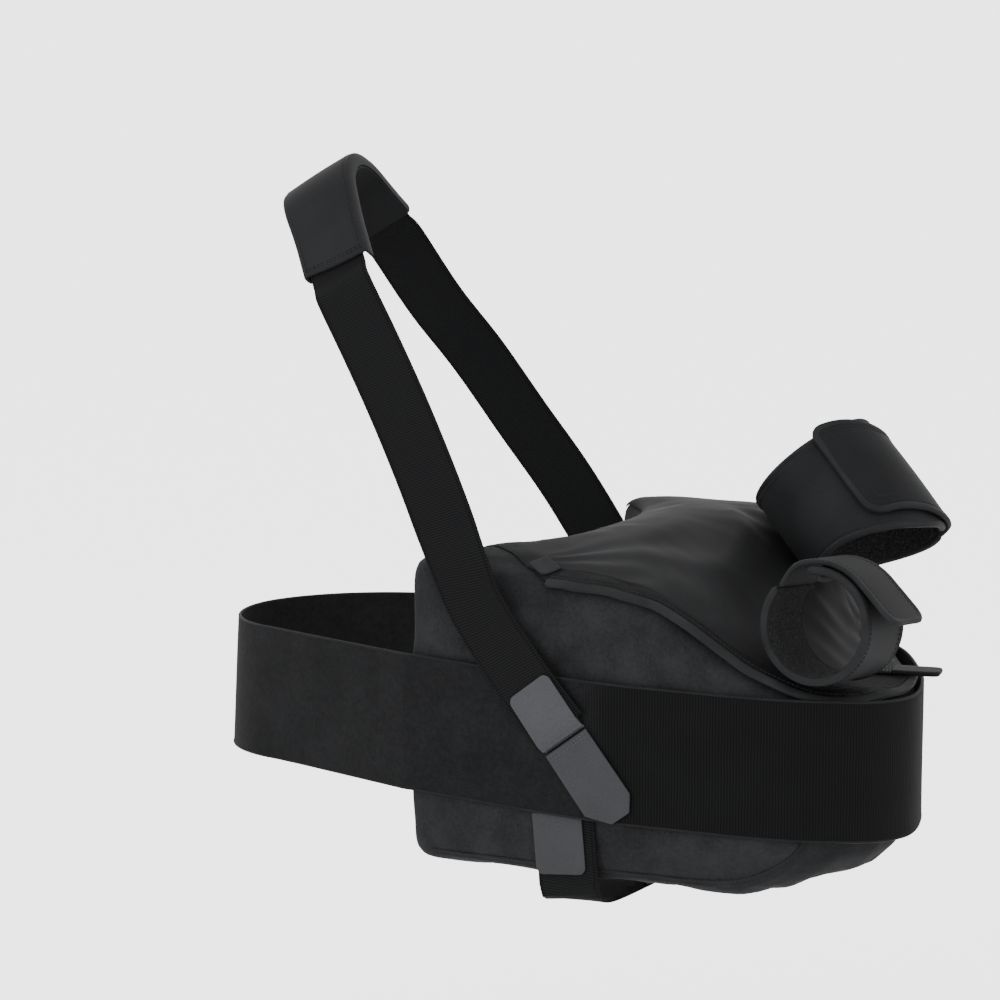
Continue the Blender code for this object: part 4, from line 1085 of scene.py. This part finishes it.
def build_base_strap(first):
    """The ribbed band that the cuffs hold on to; gives back its grid of places."""
    last = float(outline_length[int(np.argmin(np.linalg.norm(outline - np.array([0.3825, -0.084]), axis=1)))])
    insets = np.array([-0.0010, 0.0002, 0.0016, 0.0034, 0.0056, 0.0084, 0.012, 0.016, 0.020, 0.024, 0.028, 0.032,
                       0.0365])
    grid, out = top_grid(first, last, 110, lambda reach: insets * narrow(reach))
    grid, out = soften(grid, 3), unit(soften(out, 8))
    raise_clear(grid, 7)
    band, sides = layer("base_strap_band", grid, out, 0.0004, 0.0024, RIBBED, "strap_webbing",
                        "forearm_base_strap", roughness(grid, 0.0004, 30.0, 2.0))
    max(sides)
    min(sides)
    grid_area(grid)
    edge = facing(grid[:, 2], out[:, 2])

    def tuck(s, v):
        return 0.0009 * np.exp(-((s - 0.013) / 0.0035) ** 2) + 0.0003 * np.sin(s * 190.0)

    slab("base_strap_edge_tape", edge, 0.0034, -0.0012, 0.0036, LIGHT_TAPE, "edge_binding",
         "base_strap_binding", span=(-0.002, edge.length), columns=7, lift=tuck)
    inner = -0.0046 if edge.at(0.05, -0.0046)[1] > edge.at(0.05, 0.0)[1] else 0.0046
    stitches("base_strap_stitches", edge, [lay(np.linspace(0.0, edge.length, 130), inner)], 0.0034, THREAD,
             "strap_webbing")
    return grid


def build_base_strap_tabs(grid):
    centre = 0.5 * np.sum(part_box("base_strap_start_tab"), axis=0)
    across = unit(grid[0, 9] - grid[0, 4])
    before = unit(np.cross(across, UP))
    if before[0] > 0.0:
        before = -before
    path = np.array([centre - before * 0.009 + before * s for s in np.linspace(0.0, 0.0155, 10)])
    path[:, 2] = [drop(p)[0][2] + 0.0022 for p in path]
    strip = Strip(path, across, UP)
    slab("base_strap_start_tape", strip, corner(0.0115, strip.length, 0.005), 0.0, 0.0014, DARK_HOOK, "hook_tape",
         "base_strap_start_tab", columns=8, step=0.0015)
    low, high = np.array(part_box("base_strap_end_tab"))
    middle = 0.5 * (low + high)
    height, side = middle[2] - 0.0017, np.array([0.0, 1.0, 0.0])
    path = [[x, middle[1] - 0.1 * (low[0] - x), height] for x in np.linspace(low[0] - 0.050, low[0] + 0.001, 20)]
    slab("base_strap_tail", Strip(path, side, UP), 0.0118, 0.0, 0.0026, RIBBED, "strap_webbing", columns=8)
    strip = Strip([[x, middle[1], height] for x in np.linspace(low[0], high[0], 12)], side, UP)
    slab("base_strap_end_tape", strip, corner(0.0112, strip.length, 0.006), 0.0, 0.0034, BLACK_HOOK, "hook_tape",
         "base_strap_end_tab", columns=8, step=0.002)


top_start = float(np.interp(0.1385, outline[:120, 0], outline_length[:120]))
build_forearm_sheet(top_start + 0.002)
build_base_strap_tabs(build_base_strap(top_start))


# ---------------------------------------------------------------- the cuffs
class Cuff:
    """Places on a cuff: an angle round it, a distance along it and a radius."""

    def __init__(self, centre, axis, reference, turn):
        self.centre = np.array(centre)
        self.axis = unit(np.array(axis))
        reference = np.array(reference)
        self.first = unit(reference - self.axis * np.dot(reference, self.axis))
        self.second = np.cross(self.axis, self.first) * turn

    def strip(self, degrees, radii, shift):
        angle = np.radians(np.asarray(degrees, float))[:, None]
        out = np.cos(angle) * self.first + np.sin(angle) * self.second
        radii, shift = (np.broadcast_to(value, len(angle))[:, None] for value in (radii, shift))
        path = self.centre + self.axis * shift + out * radii
        face = unit(np.cross(tangents(path), self.axis))
        return Strip(path, self.axis, face * np.sign(np.sum(face * out, axis=1, keepdims=True)))


ARM = Cuff(ARM_CENTRE, ARM_AXIS, (0.0, -1.0, 0.0), -1.0)
WRIST = Cuff(WRIST_CENTRE, WRIST_AXIS, (0.0, 0.0, 1.0), -1.0)


def lateral_flare(angles):
    """The upper-arm cuff is cut longer over the lateral side of the arm."""
    turned = np.where(angles < -90.0, angles + 360.0, angles)
    return 0.024 * smoothstep((turned + 20.0) / 105.0) * smoothstep((235.0 - turned) / 105.0)


def build_cuff(name, cuff, radius, width, angles, extra, edges):
    """Lining, shell and the two bound edges; extra widens the cuff on the side its axis points to."""
    strip = cuff.strip(angles, radius, 0.0)
    half = 0.5 * width
    def reach(inset):
        return half - inset, lambda s: half - inset + float(np.interp(s, strip.marks, extra))

    lining = slab(name + "_terry", strip, reach(0.004), 0.0, 0.0024, TERRY, "cuff_lining", name + "_lining",
                  columns=14)
    shell = slab(name + "_face", strip, reach(0.0035), 0.0028, 0.0050, CUFF, "cuff_twill", name + "_shell",
                 columns=14, relief=ripples(0.0006, 40.0, 6.0))
    s = np.linspace(0.0, strip.length, 120)
    rows = []
    for sign, edge in zip((-1.0, 1.0), edges):
        beyond = np.interp(s, strip.marks, extra) * max(sign, 0.0)
        edging(name + edge + "_tape", strip, lay(s, sign * (half - 0.0026) + beyond), 0.0028, -0.0004, 0.0056,
               TAPE, "edge_binding", name + edge)
        rows.append(lay(s, sign * (half - 0.0064) + beyond))
    stitches(name + "_stitches", strip, rows, 0.0052, THREAD, "cuff_twill")


def build_flap(name, strip, halves, radii, body):
    """A flap whose root is at s = 0, with a bound rim, a hook patch inside and a stitched face."""
    length = strip.length
    middle, half = 0.5 * (halves[1] - halves[0]), 0.5 * (halves[0] + halves[1])

    def crown(s, v):
        return 0.0008 * np.cos(np.clip((v - middle) / half, -1.0, 1.0) * 0.5 * np.pi)

    def rounded(inset, end):
        return tuple(corner(h - inset, end, r) for h, r in zip(halves, radii))

    flap = slab(name + "_face", strip, rounded(0.0022, length - 0.0022), 0.0010, 0.0037, FLAP, "cuff_twill", name,
                body, (0.0, length - 0.0022), columns=16, step=0.002, relief=crown)
    edging(name + "_rim", strip, round_end(0.0, length, halves, radii, 0.0026), 0.0028, 0.0006, 0.0045, TAPE,
           "edge_binding", name + "_binding", body, 0.0025)
    slab(name + "_hooks", strip, rounded(0.008, length - 0.007), -0.0001, 0.0009, DARK_HOOK, "hook_tape",
         name + "_hook_patch", body, (length - 0.043, length - 0.007), columns=10, step=0.002)
    loop = round_end(length - 0.040, length, halves, radii, 0.0125)
    rows = [round_end(0.004, length, halves, radii, 0.0066), loop + [loop[0]]]
    stitches(name + "_stitches", strip, rows, 0.0040, THREAD, "cuff_twill", body)


def ramp_up(radius, step):
    """A flap's inner face starts level with the lining and climbs over the cuff."""
    return radius - 0.0004 + 0.0064 * step


def build_upper_arm_cuff():
    angles = np.linspace(115.0, -228.0, 100)
    build_cuff("upper_arm_cuff", ARM, ARM_RADIUS, ARM_CUFF_WIDTH, angles, lateral_flare(angles),
               ("_upper_binding", "_lower_binding"))
    angles = np.linspace(129.5, 25.0, 90)
    slant = smoothstep((angles - 30.0) / 85.0)
    radii = ramp_up(ARM_RADIUS, smoothstep((129.5 - angles) / 11.0))
    strip = ARM.strip(angles, radii, 0.022 * slant - 0.009)
    build_flap("upper_arm_flap", strip, (0.033, 0.048), (0.009, 0.015), "upper_arm_closure")


def build_wrist_cuff():
    angles = np.linspace(-12.0, 308.0, 100)
    build_cuff("wrist_cuff", WRIST, WRIST_RADIUS, WRIST_CUFF_WIDTH, angles, 0.0 * angles,
               ("_rear_binding", "_front_binding"))
    angles = np.linspace(-49.0, 44.0, 70)
    wrapped = WRIST.strip(angles, ramp_up(WRIST_RADIUS, smoothstep((angles + 49.0) / 30.0)), 0.0)
    straight = unit(wrapped.path[-1] - wrapped.path[-2])
    straight = unit(wrapped.path[-1] - wrapped.path[-2])
    tail = [wrapped.path[-1] + straight * s for s in np.linspace(0.002, 0.038, 18)]
    out = np.vstack([wrapped.out, np.tile(wrapped.out[-1], (18, 1))])
    build_flap("wrist_flap", Strip(np.vstack([wrapped.path, tail]), WRIST.axis, out), (0.027, 0.027),
               (0.012, 0.012), "wrist_closure")


build_upper_arm_cuff()
build_wrist_cuff()


# ---------------------------------------------------------------- the zip keeps its CAD shape
for name in ("zip_tape", "zip_chain", "zip_slider"):
    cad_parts[name].data.materials.clear()
    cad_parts[name].data.materials.append(MOULDED if name != "zip_tape" else TAPE)


# ---------------------------------------------------------------- floor, light and camera
def build_stage():
    plain = bpy.data.materials.new("pale_floor")
    plain.use_nodes = True
    shader = plain.node_tree.nodes["Principled BSDF"]
    shader.inputs["Base Color"].default_value = (0.93, 0.93, 0.935, 1.0)
    shader.inputs["Roughness"].default_value = 0.9
    shader.inputs["Specular IOR Level"].default_value = 0.1
    mesh = bpy.data.meshes.new("floor")
    size, level = 40.0, -0.42
    mesh.from_pydata([(-size, -size, level), (size, -size, level), (size, size, level), (-size, size, level)],
                     [], [(0, 1, 2, 3)])
    mesh.materials.append(plain)
    put("floor", mesh)

    world = bpy.data.worlds.new("studio")
    world.use_nodes = True
    world.node_tree.nodes["Background"].inputs[0].default_value = (1.0, 1.0, 1.0, 1.0)
    world.node_tree.nodes["Background"].inputs[1].default_value = 3.6
    bpy.context.scene.world = world

    def area(name, place, aim, size, power):
        light = bpy.data.lights.new(name, "AREA")
        light.shape = "SQUARE"
        light.size = size
        light.energy = power
        holder = put(name, light)
        holder.location = place
        holder.rotation_euler = (Vector(aim) - Vector(place)).to_track_quat("-Z", "Y").to_euler()

    area("key", (-1.6, -2.3, 1.2), (0.1, 0.0, 0.1), 1.4, 46.0)
    area("fill", (2.2, -1.8, 1.0), (0.2, 0.0, 0.1), 1.8, 6.0)


def build_camera():
    lens = bpy.data.cameras.new("camera")
    lens.lens = 132.63
    lens.sensor_width = 36.0
    lens.clip_end = 100.0
    camera = put("camera", lens)
    camera.location = (0.80075, -2.61914, 0.58215)
    aim = Vector((0.03984, 0.04288, 0.13811)) - Vector(camera.location)
    camera.rotation_euler = aim.to_track_quat("-Z", "Y").to_euler()
    bpy.context.scene.camera = camera


build_stage()
build_camera()
